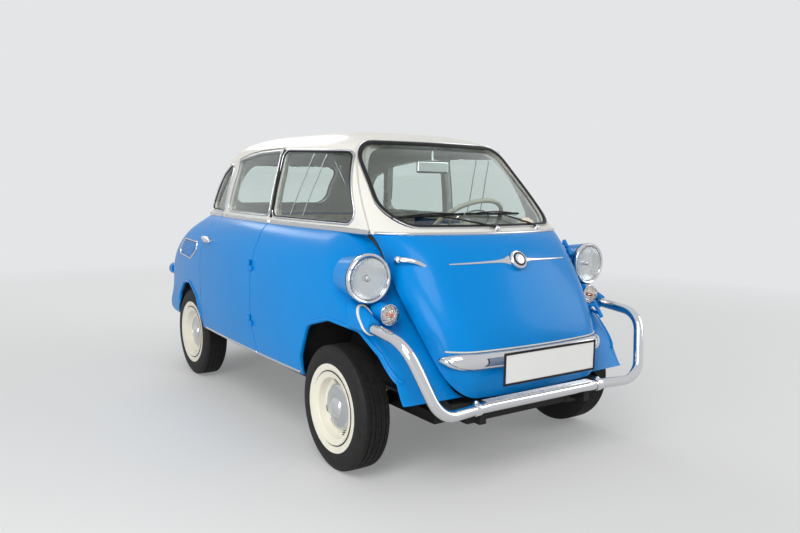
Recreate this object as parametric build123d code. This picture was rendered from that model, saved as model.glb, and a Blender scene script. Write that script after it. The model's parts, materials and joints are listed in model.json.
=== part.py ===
from build123d import *
import math
import os

# A four-wheeled bubble car with a front door and one rear side door, in millimetres.
# +Z is up, -Y is the front and +X is the car's own left. The origin is on the ground under the middle.

# ---------------------------------------------------------------- driving dimensions
WHEELBASE = 1700.0
FRONT_AXLE_Y = -905.0
REAR_AXLE_Y = FRONT_AXLE_Y + WHEELBASE
FRONT_TRACK = 1220.0
REAR_TRACK = 1160.0
WHEEL_Z = 249.0              # height of the wheel centres
TYRE_RADIUS = 249.0
TYRE_WIDTH = 132.0
RIM_RADIUS = 150.0           # outer edge of the steel wheel

WALL = 40.0                  # whole thickness of a wall or door, skin to lining
GAP = 6.0                    # shut line between a moving panel and the body
FLOOR_TOP = 318.0
FLOOR_THICK = 20.0
SILL_Z = 320.0               # bottom edge of the body sides
BELT_Z = 930.0               # where the painted lower body meets the roof and its pillars

SEAM_LOW_Y = -1310.0         # the front door's shut line lies in one leaning plane
SEAM_LOW_Z = 378.0
SEAM_SLOPE = 0.747           # how far that plane runs back for each millimetre it rises

DOOR_SKEW = 20.0             # degrees that the side door's shut faces open outwards, to follow its swing
SIDE_X = 690.0               # where the side door's outline is drawn

# Body sections, from the bottom up. Each is a closed plan outline of tangent arcs:
# height, front y, front radius, front corner radius, half width, y of the widest point,
# side radius, rear corner radius, rear y, rear radius
# NOSE is the front door below the belt, CABIN is the roof and its pillars, HULL the painted sides.
NOSE = [
    (SILL_Z + 18, -1346, 6000, 110, 440, 0, 20000, 200, 1000, 3000),
    (400, -1362, 3500, 140, 462, 0, 20000, 200, 1000, 3000),
    (480, -1365, 2600, 160, 470, 0, 20000, 200, 1000, 3000),
    (650, -1312, 1500, 190, 492, 0, 20000, 200, 1000, 3000),
    (790, -1237, 1150, 210, 518, 0, 12000, 220, 1005, 2500),
    (BELT_Z, -1108, 1000, 210, 560, 0, 6500, 230, 1020, 2000),
]
CABIN = [
    NOSE[-1],
    (1090, -935, 1000, 190, 535, 0, 6500, 220, 920, 2000),
    (1230, -782, 1000, 180, 507, 0, 6500, 220, 765, 1800),
    (1300, -699, 1000, 175, 478, -5, 5500, 220, 622, 1500),
    (1342, -598, 950, 180, 405, -20, 4500, 215, 455, 1250),
    (1363.5, -485, 850, 160, 302, -40, 3500, 180, 300, 1000),
    (1371.9, -350, 700, 100, 172, -70, 2500, 100, 140, 800),
    (1375.5, -210, 500, 40, 60, -100, 1500, 40, -10, 500),
]
CABIN_STEP = 72.0            # rows further apart than this get straight rows between them


def filled(rows):
    """The same table with rows added between distant ones, so that pillars and screen stay straight."""
    out = []
    for low, high in zip(rows, rows[1:]):
        count = math.ceil((high[0] - low[0]) / CABIN_STEP)
        out += [tuple(a + (b - a) * k / count for a, b in zip(low, high)) for k in range(count)]
    return out + [rows[-1]]


CABIN = filled(CABIN)
HULL = [
    (SILL_Z, -1350, 8000, 60, 670, 0, 14000, 190, 1350, 3000),
    (430, -1262, 8000, 80, 686, 0, 12000, 220, 1394, 3000),
    (560, -1160, 8000, 130, 694, 0, 10000, 250, 1384, 3000),
    (700, -1050, 6000, 170, 692, 0, 10000, 290, 1322, 2500),
    (790, -985, 5000, 180, 677, 0, 9000, 320, 1235, 2200),
    (860, -930, 4000, 200, 643, 0, 8000, 330, 1130, 2000),
    (905, -905, 3000, 220, 600, 0, 7000, 320, 1055, 2000),
    (BELT_Z, -890, 2500, 220, 562, 0, 6500, 260, 1022, 2000),
]


def seam_y(z, ahead=0.0):
    """y of the front door's shut plane at a height, moved forward by ahead square to the plane."""
    lean = math.hypot(1.0, SEAM_SLOPE)
    return SEAM_LOW_Y + SEAM_SLOPE * (z - SEAM_LOW_Z) - ahead * lean


# ---------------------------------------------------------------- outlines and lofts
def corner_centre(c1, r1, c2, r2, r, side):
    """Centre of the arc of radius r inside two circles, on the front (-1) or rear (+1) side."""
    d = math.dist(c1, c2)
    a, b = r1 - r, r2 - r
    along = (a * a - b * b + d * d) / (2 * d)
    off = math.sqrt(max(a * a - along * along, 0.0))
    ux, uy = (c2[0] - c1[0]) / d, (c2[1] - c1[1]) / d
    px, py = c1[0] + along * ux, c1[1] + along * uy
    found = [(px - uy * off, py + ux * off), (px + uy * off, py - ux * off)]
    found = [p for p in found if side * p[1] > 0] or found
    return max(found, key=lambda p: p[0])


def touch(c, k, r):
    """Point where the corner arc round k leaves the circle round c."""
    d = math.dist(c, k)
    return (k[0] + (k[0] - c[0]) / d * r, k[1] + (k[1] - c[1]) / d * r)


def on_arc(c, p, q):
    """Middle point of the short arc from p to q round c."""
    mx, my = (p[0] + q[0]) / 2 - c[0], (p[1] + q[1]) / 2 - c[1]
    k = math.dist(c, p) / math.hypot(mx, my)
    return (c[0] + mx * k, c[1] + my * k)


def plan_wire(row, inset=0.0, z=None):
    """One closed plan outline of eight tangent arcs, inset by a wall."""
    height, yf, rf, rcf, w, y0, rs, rcr, yr, rr = row
    yf, rf, rcf, w = yf + inset, rf - inset, max(rcf - inset, 20.0), w - inset
    rs, rcr, yr, rr = rs - inset, max(rcr - inset, 20.0), yr - inset, rr - inset
    z = height if z is None else z
    front, side, rear = (0, yf + rf), (w - rs, y0), (0, yr - rr)
    kf = corner_centre(front, rf, side, rs, rcf, -1)
    kr = corner_centre(rear, rr, side, rs, rcr, 1)
    a, b = touch(front, kf, rcf), touch(side, kf, rcf)
    c, d = touch(side, kr, rcr), touch(rear, kr, rcr)
    m1, m2, m3 = on_arc(kf, a, b), on_arc(side, b, c), on_arc(kr, c, d)

    def p3(p, mirror=1):
        return (mirror * p[0], p[1], z)

    edges = [
        Edge.make_three_point_arc(p3(a, -1), (0, yf, z), p3(a)),
        Edge.make_three_point_arc(p3(a), p3(m1), p3(b)),
        Edge.make_three_point_arc(p3(b), p3(m2), p3(c)),
        Edge.make_three_point_arc(p3(c), p3(m3), p3(d)),
        Edge.make_three_point_arc(p3(d), (0, yr, z), p3(d, -1)),
        Edge.make_three_point_arc(p3(d, -1), p3(m3, -1), p3(c, -1)),
        Edge.make_three_point_arc(p3(c, -1), p3(m2, -1), p3(b, -1)),
        Edge.make_three_point_arc(p3(b, -1), p3(m1, -1), p3(a, -1)),
    ]
    return Wire(edges)


DOME_Z = 1180.0              # above this height the wall is thinned towards the top by lowering it


def loft_rows(rows, inset=0.0, sink=0.0):
    """Loft through plan outlines. sink lowers the upper sections of a dome so its wall stays even."""
    wires = []
    for row in rows:
        fall = max(0.0, (row[0] - DOME_Z) / (CABIN[-1][0] - DOME_Z))
        z = row[0] - sink * fall
        wires.append(plan_wire(row, inset * (1.0 - 0.75 * fall), z))
    return Solid.make_loft(wires)


def egg_at(inset=0.0, sink=0.0):
    """The egg-shaped solid of nose and cabin, its skin moved in by inset."""
    return loft_rows(NOSE, inset, sink) + loft_rows(CABIN, inset, sink)


def box(x0, x1, y0, y1, z0, z1):
    return Pos((x0 + x1) / 2, (y0 + y1) / 2, (z0 + z1) / 2) * Box(x1 - x0, y1 - y0, z1 - z0)


def side_prism(points, x0, x1, radius=0.0):
    """Prism along X through a side-view outline of (y, z) points, its corners rounded."""
    wire = Polyline(*[(x0, y, z) for y, z in points], close=True)
    face = make_face(wire)
    if radius:
        face = fillet(face.vertices(), radius)
    return extrude(face, amount=abs(x1 - x0), dir=(1 if x1 > x0 else -1, 0, 0))


def front_prism(points, y0, y1, radius=0.0):
    """Prism along Y through a front-view outline of (x, z) points, its corners rounded."""
    wire = Polyline(*[(x, y0, z) for x, z in points], close=True)
    face = make_face(wire)
    if radius:
        face = fillet(face.vertices(), radius)
    return extrude(face, amount=abs(y1 - y0), dir=(0, 1 if y1 > y0 else -1, 0))


def behind_seam(ahead):
    """Everything behind the front door's shut plane."""
    low, high = 200.0, 1500.0
    outline = [(seam_y(low, ahead), low), (1800, low), (1800, high), (seam_y(high, ahead), high)]
    return side_prism(outline, -900, 900)


def ahead_of_seam(ahead):
    low, high = 200.0, 1500.0
    outline = [(seam_y(low, ahead), low), (seam_y(high, ahead), high), (-1900, high), (-1900, low)]
    return side_prism(outline, -900, 900)


def mirrored(shape):
    return mirror(shape, about=Plane.YZ)


def both(shape):
    """A shape on the left and its mirror image on the right, as one node."""
    return Compound(children=[*shape.solids(), *mirrored(shape).solids()])


egg = egg_at()
egg_inner = egg_at(WALL, WALL * 0.8)
hull = loft_rows(HULL)
hull_inner = loft_rows(
    [(SILL_Z - 5,) + HULL[0][1:], *HULL[1:-1], (BELT_Z + 5,) + HULL[-1][1:]], WALL
)

# ---------------------------------------------------------------- cutters
ARCH_IN = 590.0              # the visible arches are cut through the outer skin only
ARCH_OUT = 760.0
ARCH_LIP = 8.0               # thickness of the sheet left round an arch
FRONT_ARCH = [(-636, 200), (-636, 400), (-700, 545), (-850, 588), (-1040, 575), (-1150, 500),
              (-1310, 345), (-1330, 200)]
REAR_ARCH = [(520, 200), (556, 350), (632, 480), (760, 542), (880, 530), (975, 455),
             (1010, 340), (1010, 200)]
FRONT_STAND_OFF = 32.0       # the front housings stand this far off the visible arches
REAR_WELL_RADIUS = 276.0     # the rear ones are round where that is larger than the visible arch
HOUSING_SHEET = 8.0
HOUSING_GAP = 0.4            # between the housings and the walls they are fixed to
FRONT_WELL_X = 414.0         # inner wall of the front wells
REAR_WELL_X = 474.0
REAR_TYRE_X = (REAR_TRACK + TYRE_WIDTH) / 2

KINGPIN_X = 556.0            # the kingpins stand inside the rims


def arch_prism(outline, grow, x0, x1, side):
    """Prism along X through an arch's outline, its corners rounded, grown all round."""
    face = make_face(Polyline(*[(side * x0, y, z) for y, z in outline], close=True))
    face = fillet(face.vertices(), 60)
    if grow:
        face = offset(face, grow)
    return extrude(face, amount=x1 - x0, dir=(side, 0, 0))


def well(y, radius, x0, x1, side):
    """Round space that a wheel needs inside the body."""
    return Pos(side * (x0 + x1) / 2, y, WHEEL_Z) * Rot(0, 90, 0) * Cylinder(radius, x1 - x0)


def wheel_space(front, grow, x0, side):
    """Room inside a wheel's housing, from the plane x0 outwards, grown all round."""
    if front:
        return arch_prism(FRONT_ARCH, FRONT_STAND_OFF + grow, x0, ARCH_OUT, side)
    round_room = well(REAR_AXLE_Y, REAR_WELL_RADIUS + grow, x0, ARCH_OUT, side)
    return round_room + arch_prism(REAR_ARCH, grow, x0, ARCH_OUT, side)


WHEEL_SPACES = ((True, FRONT_WELL_X), (False, REAR_WELL_X))
skin_inside = loft_rows(HULL, ARCH_LIP)
arch_openings = [arch_prism(o, 0, ARCH_IN, ARCH_OUT, side) for side in (-1, 1) for o in (FRONT_ARCH, REAR_ARCH)]
arches = list(arch_openings)
for side in (-1, 1):
    for front, inner_x in WHEEL_SPACES:
        arches.append(wheel_space(front, HOUSING_SHEET, inner_x - HOUSING_SHEET, side) & skin_inside)
    arches.append(well(REAR_AXLE_Y, TYRE_RADIUS + 6, REAR_WELL_X, REAR_TYRE_X + 6, side))

# Side door outline on the plane x = -SIDE_X, from its lower front corner round by the top
SIDE_DOOR = [(-190, 300), (-160, 470), (-160, 760), (-140, 850), (-38, BELT_Z), (-35, 1287),
             (219, 1280), (370, 1265), (514, 1238), (597, BELT_Z), (556, 820), (548, 700), (548, 300)]


def side_door_prism(grow):
    """The side door's outline pushed through the wall, widening outwards along its swing."""
    skew = math.tan(math.radians(DOOR_SKEW))
    proud, depth = 60.0, 320.0
    wire = Polyline(*[(-SIDE_X - proud, y + proud * skew, z) for y, z in SIDE_DOOR], close=True)
    face = make_face(wire)
    if grow:
        face = offset(face, grow, kind=Kind.INTERSECTION)
    way = Vector(1, -skew, 0)
    return extrude(face, amount=depth * way.length, dir=way.normalized())


side_hole = side_door_prism(GAP)
side_plug = side_door_prism(0)

# ---------------------------------------------------------------- lower body
LID_HALF = 285.0
LID_LOW, LID_HIGH = 430.0, 868.0
lid_outline = [(-LID_HALF, LID_LOW), (LID_HALF, LID_LOW), (LID_HALF, LID_HIGH), (-LID_HALF, LID_HIGH)]
lid_hole_outline = [(x * (1 + GAP / LID_HALF), z + (GAP if z > 600 else -GAP)) for x, z in lid_outline]

shell = hull - hull_inner
door_opening = loft_rows(NOSE, 26) & ahead_of_seam(-120)
shell = shell - door_opening - arches
fender_lip = side_prism([(-1400, 300), (-1120, 300), (-1180, 330), (-1400, 356)], -760, 760)
shell = shell - fender_lip
REAR_SPLIT_Y = 640.0         # the rear body starts here on the left, and behind the door on the right
rear_half = box(0, 800, REAR_SPLIT_Y, 1500, 200, 1000) + box(-800, 0, 500, 1500, 200, 1000)
left_half = box(0, 800, -1500, REAR_SPLIT_Y, 200, 1000)
right_half = box(-800, 0, -1500, 300, 200, 1000)
side_left = shell & left_half
side_right = (shell & right_half) - side_hole
rear_body = (shell & rear_half) - front_prism(lid_hole_outline, 900, 1500, 30) - side_hole
engine_lid = (shell & rear_half) & front_prism(lid_outline, 900, 1500, 26)

# ---------------------------------------------------------------- roof with its pillars
upper_shell = loft_rows(CABIN) - loft_rows(CABIN, WALL, WALL * 0.8)
WINDOW_SILL = 968.0
FRONT_WINDOW = [(-800, WINDOW_SILL), (-640, 1258), (-140, 1272), (-112, WINDOW_SILL)]
LEFT_WINDOWS = [
    FRONT_WINDOW,
    [(-70, WINDOW_SILL), (-100, 1272), (140, 1266), (410, 1234), (486, WINDOW_SILL)],
    [(520, WINDOW_SILL), (446, 1226), (600, 1162), (770, WINDOW_SILL)],
]
RIGHT_QUARTER = [(y + 46, z) for y, z in LEFT_WINDOWS[2]]
REAR_WINDOW = [(-330, 990), (330, 990), (300, 1215), (-300, 1215)]

roof = upper_shell & behind_seam(-GAP / 2)
roof = roof - side_prism(FRONT_WINDOW, -350, -760, 36) - side_prism(RIGHT_QUARTER, -350, -760, 26)
for outline in LEFT_WINDOWS:
    roof = roof - side_prism(outline, 350, 760, 26)
roof = roof - front_prism(REAR_WINDOW, 400, 1200, 70) - side_hole

# ---------------------------------------------------------------- front door
front_door_lower = (loft_rows(NOSE) - loft_rows(NOSE, WALL)) & ahead_of_seam(GAP / 2)
front_door_upper = upper_shell & ahead_of_seam(GAP / 2)
SCREEN = [(-452, 966), (452, 966), (402, 1300), (-402, 1300)]
screen_hole = front_prism(SCREEN, -1300, -500, 95)
front_door_upper = front_door_upper - screen_hole
glass_skin = loft_rows(CABIN, 14, 12) - loft_rows(CABIN, 19, 17)
windscreen = glass_skin & front_prism(SCREEN, -1300, -500, 95) & ahead_of_seam(GAP)

# ---------------------------------------------------------------- side door
side_door_lower = (hull - hull_inner - arch_openings) & side_plug
side_door_upper = upper_shell & side_plug
DOOR_WINDOW = LEFT_WINDOWS[1]
side_door_upper = side_door_upper - side_prism(DOOR_WINDOW, -350, -760, 26)
side_door_glass = glass_skin & side_prism(DOOR_WINDOW, -350, -760, 26)

# ---------------------------------------------------------------- fixed glass
panes = [glass_skin & side_prism(FRONT_WINDOW, -350, -760, 36)]
panes.append(glass_skin & side_prism(RIGHT_QUARTER, -350, -760, 26))
for outline in LEFT_WINDOWS:
    panes.append(glass_skin & side_prism(outline, 350, 760, 26))
side_glass = Compound(children=[s for p in panes for s in p.solids()])
rear_glass = glass_skin & front_prism(REAR_WINDOW, 400, 1200, 70)


# ---------------------------------------------------------------- floor, frame and wheel wells
FLOOR_LOW = FLOOR_TOP - FLOOR_THICK
FLOOR_OUTLINE = [(400, -1300), (400, -600), (625, -600), (625, 480), (455, 480), (455, 1100), (300, 1290)]
floor_face = make_face(Polyline(
    *[(x, y, FLOOR_LOW) for x, y in FLOOR_OUTLINE],
    *[(-x, y, FLOOR_LOW) for x, y in reversed(FLOOR_OUTLINE)],
    close=True,
))
floor_pan = extrude(floor_face, amount=FLOOR_THICK, dir=(0, 0, 1))

FRAME_X = 270.0              # side tubes of the ladder frame
FRAME_LOW, FRAME_HIGH = 228.0, FLOOR_LOW
frame = box(FRAME_X - 30, FRAME_X + 30, -1290, 1180, FRAME_LOW, FRAME_HIGH)
frame = frame + mirrored(frame)
for y in (-1260, -560, 60, 560, 1150):
    frame = frame + box(-FRAME_X, FRAME_X, y - 28, y + 28, FRAME_LOW + 4, FRAME_HIGH)


def wheel_housing(front, inner_x, side):
    """Sheet round a wheel's space from the skin inwards, with the flat wall on its inner side."""
    sheet = HOUSING_SHEET - HOUSING_GAP
    shell_of_it = wheel_space(front, sheet, inner_x - sheet, side) - wheel_space(front, 0, inner_x, side)
    return (shell_of_it & housing_room) - side_door_room


door_room = loft_rows(NOSE, -12) & ahead_of_seam(-30)
above_floor = box(-900, 900, -1500, 1500, FLOOR_TOP + 0.5, 900)
housing_room = (loft_rows(HULL, ARCH_LIP + HOUSING_GAP) & above_floor) - door_room
side_door_room = (hull - loft_rows(HULL, WALL + GAP)) & side_hole
housings = [wheel_housing(front, inner_x, side) for side in (-1, 1) for front, inner_x in WHEEL_SPACES]
wheel_wells = Compound(children=[s for p in housings for s in p.solids()])

# ---------------------------------------------------------------- wheels
def turned(profile):
    """Solid of revolution about Y from (radius, distance along Y) points."""
    face = make_face(Polyline(*[(r, y, 0) for r, y in profile], close=True))
    return revolve(face, Axis.Y)


def hub_place(x, y):
    """Moves a shape built about Y, outboard towards +Y, to a hub and turns it outwards."""
    return Pos(x, y, WHEEL_Z) * Rot(0, 0, -90 if x > 0 else 90)


STUB_RADIUS = 20.0
HALF = TYRE_WIDTH / 2
# (radius, distance along the axle), from the inner bead over the tread and back to the outer bead
TYRE_PROFILE = [
    (128, -46), (140, -52), (150, -60), (168, -63), (200, -HALF), (232, -60),
    (TYRE_RADIUS - 3, -48), (TYRE_RADIUS, -20), (TYRE_RADIUS, 20), (TYRE_RADIUS - 3, 48),
    (232, 60), (200, HALF), (168, 63), (150, 60), (140, 52), (128, 46),
]
# the pressed wheel with its domed cap, from the hub's back round the rim well to the cap's middle
RIM_PROFILE = [
    (STUB_RADIUS + 0.4, -6), (92, -2), (102, -12), (112, -48), (116, -57), (144, -64), (146, -62),
    (RIM_RADIUS - 12, -56), (127.5, -49), (127.5, 49), (RIM_RADIUS - 12, 56), (146, 62), (144, 64),
    (118, 56), (114, 24), (96, 17), (95, 20), (84, 34), (56, 38), (44, 38), (30, 50), (0, 54),
    (0, 28), (60, 26), (STUB_RADIUS + 0.4, 12),
]

HUBS = {
    "front_left": (FRONT_TRACK / 2, FRONT_AXLE_Y),
    "front_right": (-FRONT_TRACK / 2, FRONT_AXLE_Y),
    "rear_left": (REAR_TRACK / 2, REAR_AXLE_Y),
    "rear_right": (-REAR_TRACK / 2, REAR_AXLE_Y),
}
nodes = {}
for corner, (x, y) in HUBS.items():
    place = hub_place(x, y)
    nodes[f"tyre_{corner}"] = place * turned(TYRE_PROFILE)
    nodes[f"rim_{corner}"] = place * turned(RIM_PROFILE)

# ---------------------------------------------------------------- axles and steering knuckles
def bar(radius, start, end):
    """Round bar between two points."""
    line = Vector(*end) - Vector(*start)
    plane = Plane(origin=start, z_dir=line)
    return plane * Cylinder(radius, line.length, align=(Align.CENTER, Align.CENTER, Align.MIN))


ARM_X = 392.0
ARM_PIVOT_Y = FRONT_AXLE_Y - 300.0
FORK_Z = 46.0                # height of the fork lugs above and below the hub
LUG = 15.0
front_axle = bar(32, (-ARM_X, ARM_PIVOT_Y, WHEEL_Z + 6), (ARM_X, ARM_PIVOT_Y, WHEEL_Z + 6))
for side in (-1, 1):
    arm_y = (ARM_PIVOT_Y + FRONT_AXLE_Y) / 2
    front_axle = front_axle + Pos(side * ARM_X, arm_y, WHEEL_Z + 3) * Box(36, 350, 44)
    front_axle = front_axle + box(*sorted((side * ARM_X, side * 528)), FRONT_AXLE_Y - LUG, FRONT_AXLE_Y + LUG,
                                  WHEEL_Z - 22, WHEEL_Z + 22)
    front_axle = front_axle + box(*sorted((side * 504, side * 528)), FRONT_AXLE_Y - LUG, FRONT_AXLE_Y + LUG,
                                  WHEEL_Z - FORK_Z - 12, WHEEL_Z + FORK_Z + 12)
    for up in (-1, 1):
        lug_z = WHEEL_Z + up * (FORK_Z + 6)
        front_axle = front_axle + Pos(side * KINGPIN_X, FRONT_AXLE_Y, lug_z) * Cylinder(LUG, 12)
        front_axle = front_axle + box(*sorted((side * 526, side * KINGPIN_X)), FRONT_AXLE_Y - LUG,
                                      FRONT_AXLE_Y + LUG, lug_z - 6, lug_z + 6)
    front_axle = front_axle + Pos(side * KINGPIN_X, FRONT_AXLE_Y, WHEEL_Z) * Cylinder(9, 2 * FORK_Z)

DRUM_RADIUS = 86.0


def knuckle(side):
    """Swivelling stub axle: a sleeve on the kingpin, the stub and the brake drum's backplate."""
    sleeve = Pos(side * KINGPIN_X, FRONT_AXLE_Y, WHEEL_Z) * Cylinder(17, 2 * FORK_Z - 4)
    drum = hub_place(side * 587, FRONT_AXLE_Y) * Rot(90, 0, 0) * Cylinder(DRUM_RADIUS, 18)
    stub = bar(STUB_RADIUS, (side * 565, FRONT_AXLE_Y, WHEEL_Z), (side * 622, FRONT_AXLE_Y, WHEEL_Z))
    whole = sleeve + drum + stub
    return whole - Pos(side * KINGPIN_X, FRONT_AXLE_Y, WHEEL_Z) * Cylinder(9.3, 200)


TRAILING_PIVOT_Y = REAR_AXLE_Y - 330.0
rear_axle = bar(30, (-400, TRAILING_PIVOT_Y, WHEEL_Z + 6), (400, TRAILING_PIVOT_Y, WHEEL_Z + 6))
REAR_ARM_Y = (TRAILING_PIVOT_Y + REAR_AXLE_Y) / 2
for side in (-1, 1):
    rear_axle = rear_axle + Pos(side * 400, REAR_ARM_Y, WHEEL_Z + 3) * Box(40, 370, 46)
    rear_axle = rear_axle + bar(24, (side * 250, REAR_AXLE_Y, WHEEL_Z), (side * 540, REAR_AXLE_Y, WHEEL_Z))
    rear_axle = rear_axle + hub_place(side * 553, REAR_AXLE_Y) * Rot(90, 0, 0) * Cylinder(DRUM_RADIUS, 26)
    stub_start, stub_end = (side * 550, REAR_AXLE_Y, WHEEL_Z), (side * 592, REAR_AXLE_Y, WHEEL_Z)
    rear_axle = rear_axle + bar(STUB_RADIUS, stub_start, stub_end)

frame = frame - bar(32.2, (-500, ARM_PIVOT_Y, WHEEL_Z + 6), (500, ARM_PIVOT_Y, WHEEL_Z + 6))
frame = frame - bar(30.2, (-500, TRAILING_PIVOT_Y, WHEEL_Z + 6), (500, TRAILING_PIVOT_Y, WHEEL_Z + 6))
frame = frame - bar(24.2, (-500, REAR_AXLE_Y, WHEEL_Z), (500, REAR_AXLE_Y, WHEEL_Z))

# ---------------------------------------------------------------- engine and exhaust
engine = box(-215, 215, 900, 1250, FLOOR_TOP + 2, 640) + box(-130, 130, 700, 900, 340, 560)
exhaust = bar(52, (-190, 1235, 232), (190, 1235, 232)) + bar(17, (150, 1235, 232), (150, 1400, 232))

# ---------------------------------------------------------------- seats, column and wheel
def cushion(x, y0, y1, z0, z1, radius=35):
    block = box(-x, x, y0, y1, z0, z1)
    return fillet(block.edges(), radius)


front_cushion = cushion(500, -360, 110, 540, 680)
front_backrest = cushion(500, 112, 222, 560, 985)
rear_cushion = cushion(500, 350, 738, 562, 690)
rear_backrest = cushion(470, 740, 832, 580, 930)
seat_bases = Compound(children=[
    *box(-440, 440, -320, 90, FLOOR_TOP, 539.5).solids(),
    *box(-440, 440, 400, 680, FLOOR_TOP, 561.5).solids(),
])

COLUMN_X = 250.0
WHEEL_HUB = (COLUMN_X, -590.0, 936.0)
COLUMN_DIR = (0.0, 0.643, 0.766)
COLUMN_FOOT_Z = FLOOR_TOP
COLUMN_LENGTH = (WHEEL_HUB[2] - COLUMN_FOOT_Z) / COLUMN_DIR[2]


def along_column(back):
    return tuple(h - d * back for h, d in zip(WHEEL_HUB, COLUMN_DIR))


column_block = bar(19, along_column(COLUMN_LENGTH + 20), along_column(46))
steering_column = column_block & box(0, 500, -1400, 0, COLUMN_FOOT_Z, 1200)
hub_plane = Plane(origin=WHEEL_HUB, x_dir=(1, 0, 0), z_dir=COLUMN_DIR)
steering_wheel = hub_plane * (
    Torus(188, 11)
    + Pos(0, 0, -16) * Cylinder(26, 44)
    + Pos(-94, 0, -4) * Box(186, 22, 8)
    + Pos(94, 0, -4) * Box(186, 22, 8)
)

# ---------------------------------------------------------------- lamps
LAMP_AT = (604.0, -1046.0, 777.0)
LAMP_RADIUS = 95.0
pod = Pos(LAMP_AT[0], LAMP_AT[1] + 62, LAMP_AT[2]) * Rot(90, 0, 0) * Cone(74, LAMP_RADIUS - 3, 124)
pod = pod - hull - egg
headlamp_pods = both(pod)
LAMP_PROFILE = [
    (0, -24), (40, -22), (70, -14), (82, -6), (90, -6), (LAMP_RADIUS, 2), (LAMP_RADIUS, 14), (0, 14),
]


def turned_at(profile, at):
    return Pos(*at) * turned(profile)


lamp = turned_at(LAMP_PROFILE, (LAMP_AT[0], LAMP_AT[1] - 14, LAMP_AT[2]))
headlamps = both(lamp)

TURN_AT = (550.0, -1122.0, 645.0)
turn_boss = Pos(TURN_AT[0], TURN_AT[1] + 40, TURN_AT[2]) * Rot(90, 0, 0) * Cone(42, 40, 80)
turn_boss = turn_boss - hull - egg - pod
turn_lens = turned_at([(0, -44), (14, -42), (37, -6), (40, 0), (0, 0)], TURN_AT)

# ---------------------------------------------------------------- bumpers
TUBE = 21.0


def tube_along(points, bends, radius):
    """Round tube along straight runs joined by tangent arcs."""
    path = FilletPolyline(*points, radius=bends)
    start = Plane(origin=path @ 0, z_dir=path % 0)
    return sweep(start * Circle(radius), path=path)


# One bent tube, from the boss on the left fender down and across to the right one
HOOP_START_Y = -1108.0
HOOP_HALF = [(625, HOOP_START_Y, 605), (629, -1338, 582), (533, -1424, 324), (300, -1368, 313)]
HOOP_BENDS = [115, 105, 300]
HOOP = HOOP_HALF + [(-x, y, z) for x, y, z in reversed(HOOP_HALF)]
MIDDLE_Y, MIDDLE_Z = HOOP_HALF[-1][1:]
front_bumper = tube_along(HOOP, HOOP_BENDS + HOOP_BENDS[::-1], TUBE)

# Teardrop boss on the fender that the hoop plugs into: (y, middle z, height, width) of its two ends
BOSS_ENDS = [(-1000, 634, 124, 70), (-1132, 607, 56, 52)]


def stadium(y, z, height, width):
    plane = Plane(origin=(HOOP[0][0], y, z), x_dir=(0, 0, 1), z_dir=(0, -1, 0))
    return plane * SlotOverall(height, width)


hoop_boss = Solid.make_loft([stadium(*end).faces()[0].outer_wire() for end in BOSS_ENDS])
hoop_boss = hoop_boss - hull - turn_boss - pod
socket_end = (HOOP[0][0] + 1, HOOP_START_Y - 60, 605 - 6)
hoop_boss = hoop_boss - bar(TUBE + 0.2, HOOP[0], socket_end)
bumper_stay = box(268, 300, -1362, -1290, 246, 298)
bumper_stay = bumper_stay - bar(TUBE + 0.2, (-420, MIDDLE_Y, MIDDLE_Z), (420, MIDDLE_Y, MIDDLE_Z))
frame = frame + bumper_stay + mirrored(bumper_stay)

REAR_TUBE = 20.0
REAR_BAR_Y = -front_bumper.bounding_box().min.Y - REAR_TUBE
REAR_BAR = [(-566, 1235, 338), (-500, REAR_BAR_Y, 338), (500, REAR_BAR_Y, 338), (566, 1235, 338)]
rear_bumper = tube_along(REAR_BAR, [90, 90], REAR_TUBE) - hull

# ---------------------------------------------------------------- trim that hugs the skin
def skin_between(low, high):
    """Layer from low to high outside the egg's skin."""
    return egg_at(-high) - egg_at(-low)


BLADE = [(-424, 500), (-380, 452), (380, 452), (424, 500), (405, 515), (-405, 515)]
front_blade = skin_between(0.2, 24) & front_prism(BLADE, -1600, -1150, 14) & ahead_of_seam(GAP)
PLATE_HALF, PLATE_LOW, PLATE_HIGH = 241.0, 405.0, 518.0
number_plate = box(-PLATE_HALF, PLATE_HALF, -1426, -1421, PLATE_LOW, PLATE_HIGH)
plate_bracket = box(-60, 60, -1421, -1340, 452, 496) - loft_rows(NOSE, -24.2)
number_plate = number_plate + plate_bracket

EMBLEM_AT = (0.0, -1222.0, 836.0)
emblem = Pos(*EMBLEM_AT) * Rot(90 - 32, 0, 0) * Cylinder(37, 26)
emblem = emblem - egg

# ---------------------------------------------------------------- handles, wipers, mirror, shelf
HANDLE_BASE = (-463.0, -1046.0, 839.0)
HANDLE_END = (-389.0, -1132.0, 816.0)
HANDLE_ROOT = (-438.0, -1000.0, 826.0)
front_door_handle = (bar(13, HANDLE_BASE, HANDLE_ROOT) + bar(7, HANDLE_BASE, HANDLE_END)) - egg
side_door_handle = bar(12, (-690, 492, 816), (-630, 492, 816)) + bar(7, (-687, 394, 810), (-687, 500, 817))
side_door_handle = side_door_handle - hull

# blade and arm of each wiper, as (x, z) outlines
WIPERS = [
    [(-420, 986), (-110, 1004), (-110, 1014), (-420, 996)],
    [(-250, 1000), (-4, 944), (6, 952), (-248, 1010)],
    [(-96, 1003), (205, 1000), (205, 1010), (-96, 1013)],
    [(60, 1002), (258, 944), (268, 952), (62, 1012)],
]
wiper_layer = skin_between(4, 13)
wipers = []
for blade, arm in (WIPERS[:2], WIPERS[2:]):
    wiper = wiper_layer & (front_prism(blade, -1400, -800) + front_prism(arm, -1400, -800))
    wipers.extend(wiper.solids())
wipers = Compound(children=wipers)

inner_mirror = Pos(0, -640, 1208) * fillet(Box(176, 26, 58).edges(), 11)
inner_mirror = (inner_mirror + bar(5, (0, -640, 1220), (0, -634, 1330))) & egg_inner

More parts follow.
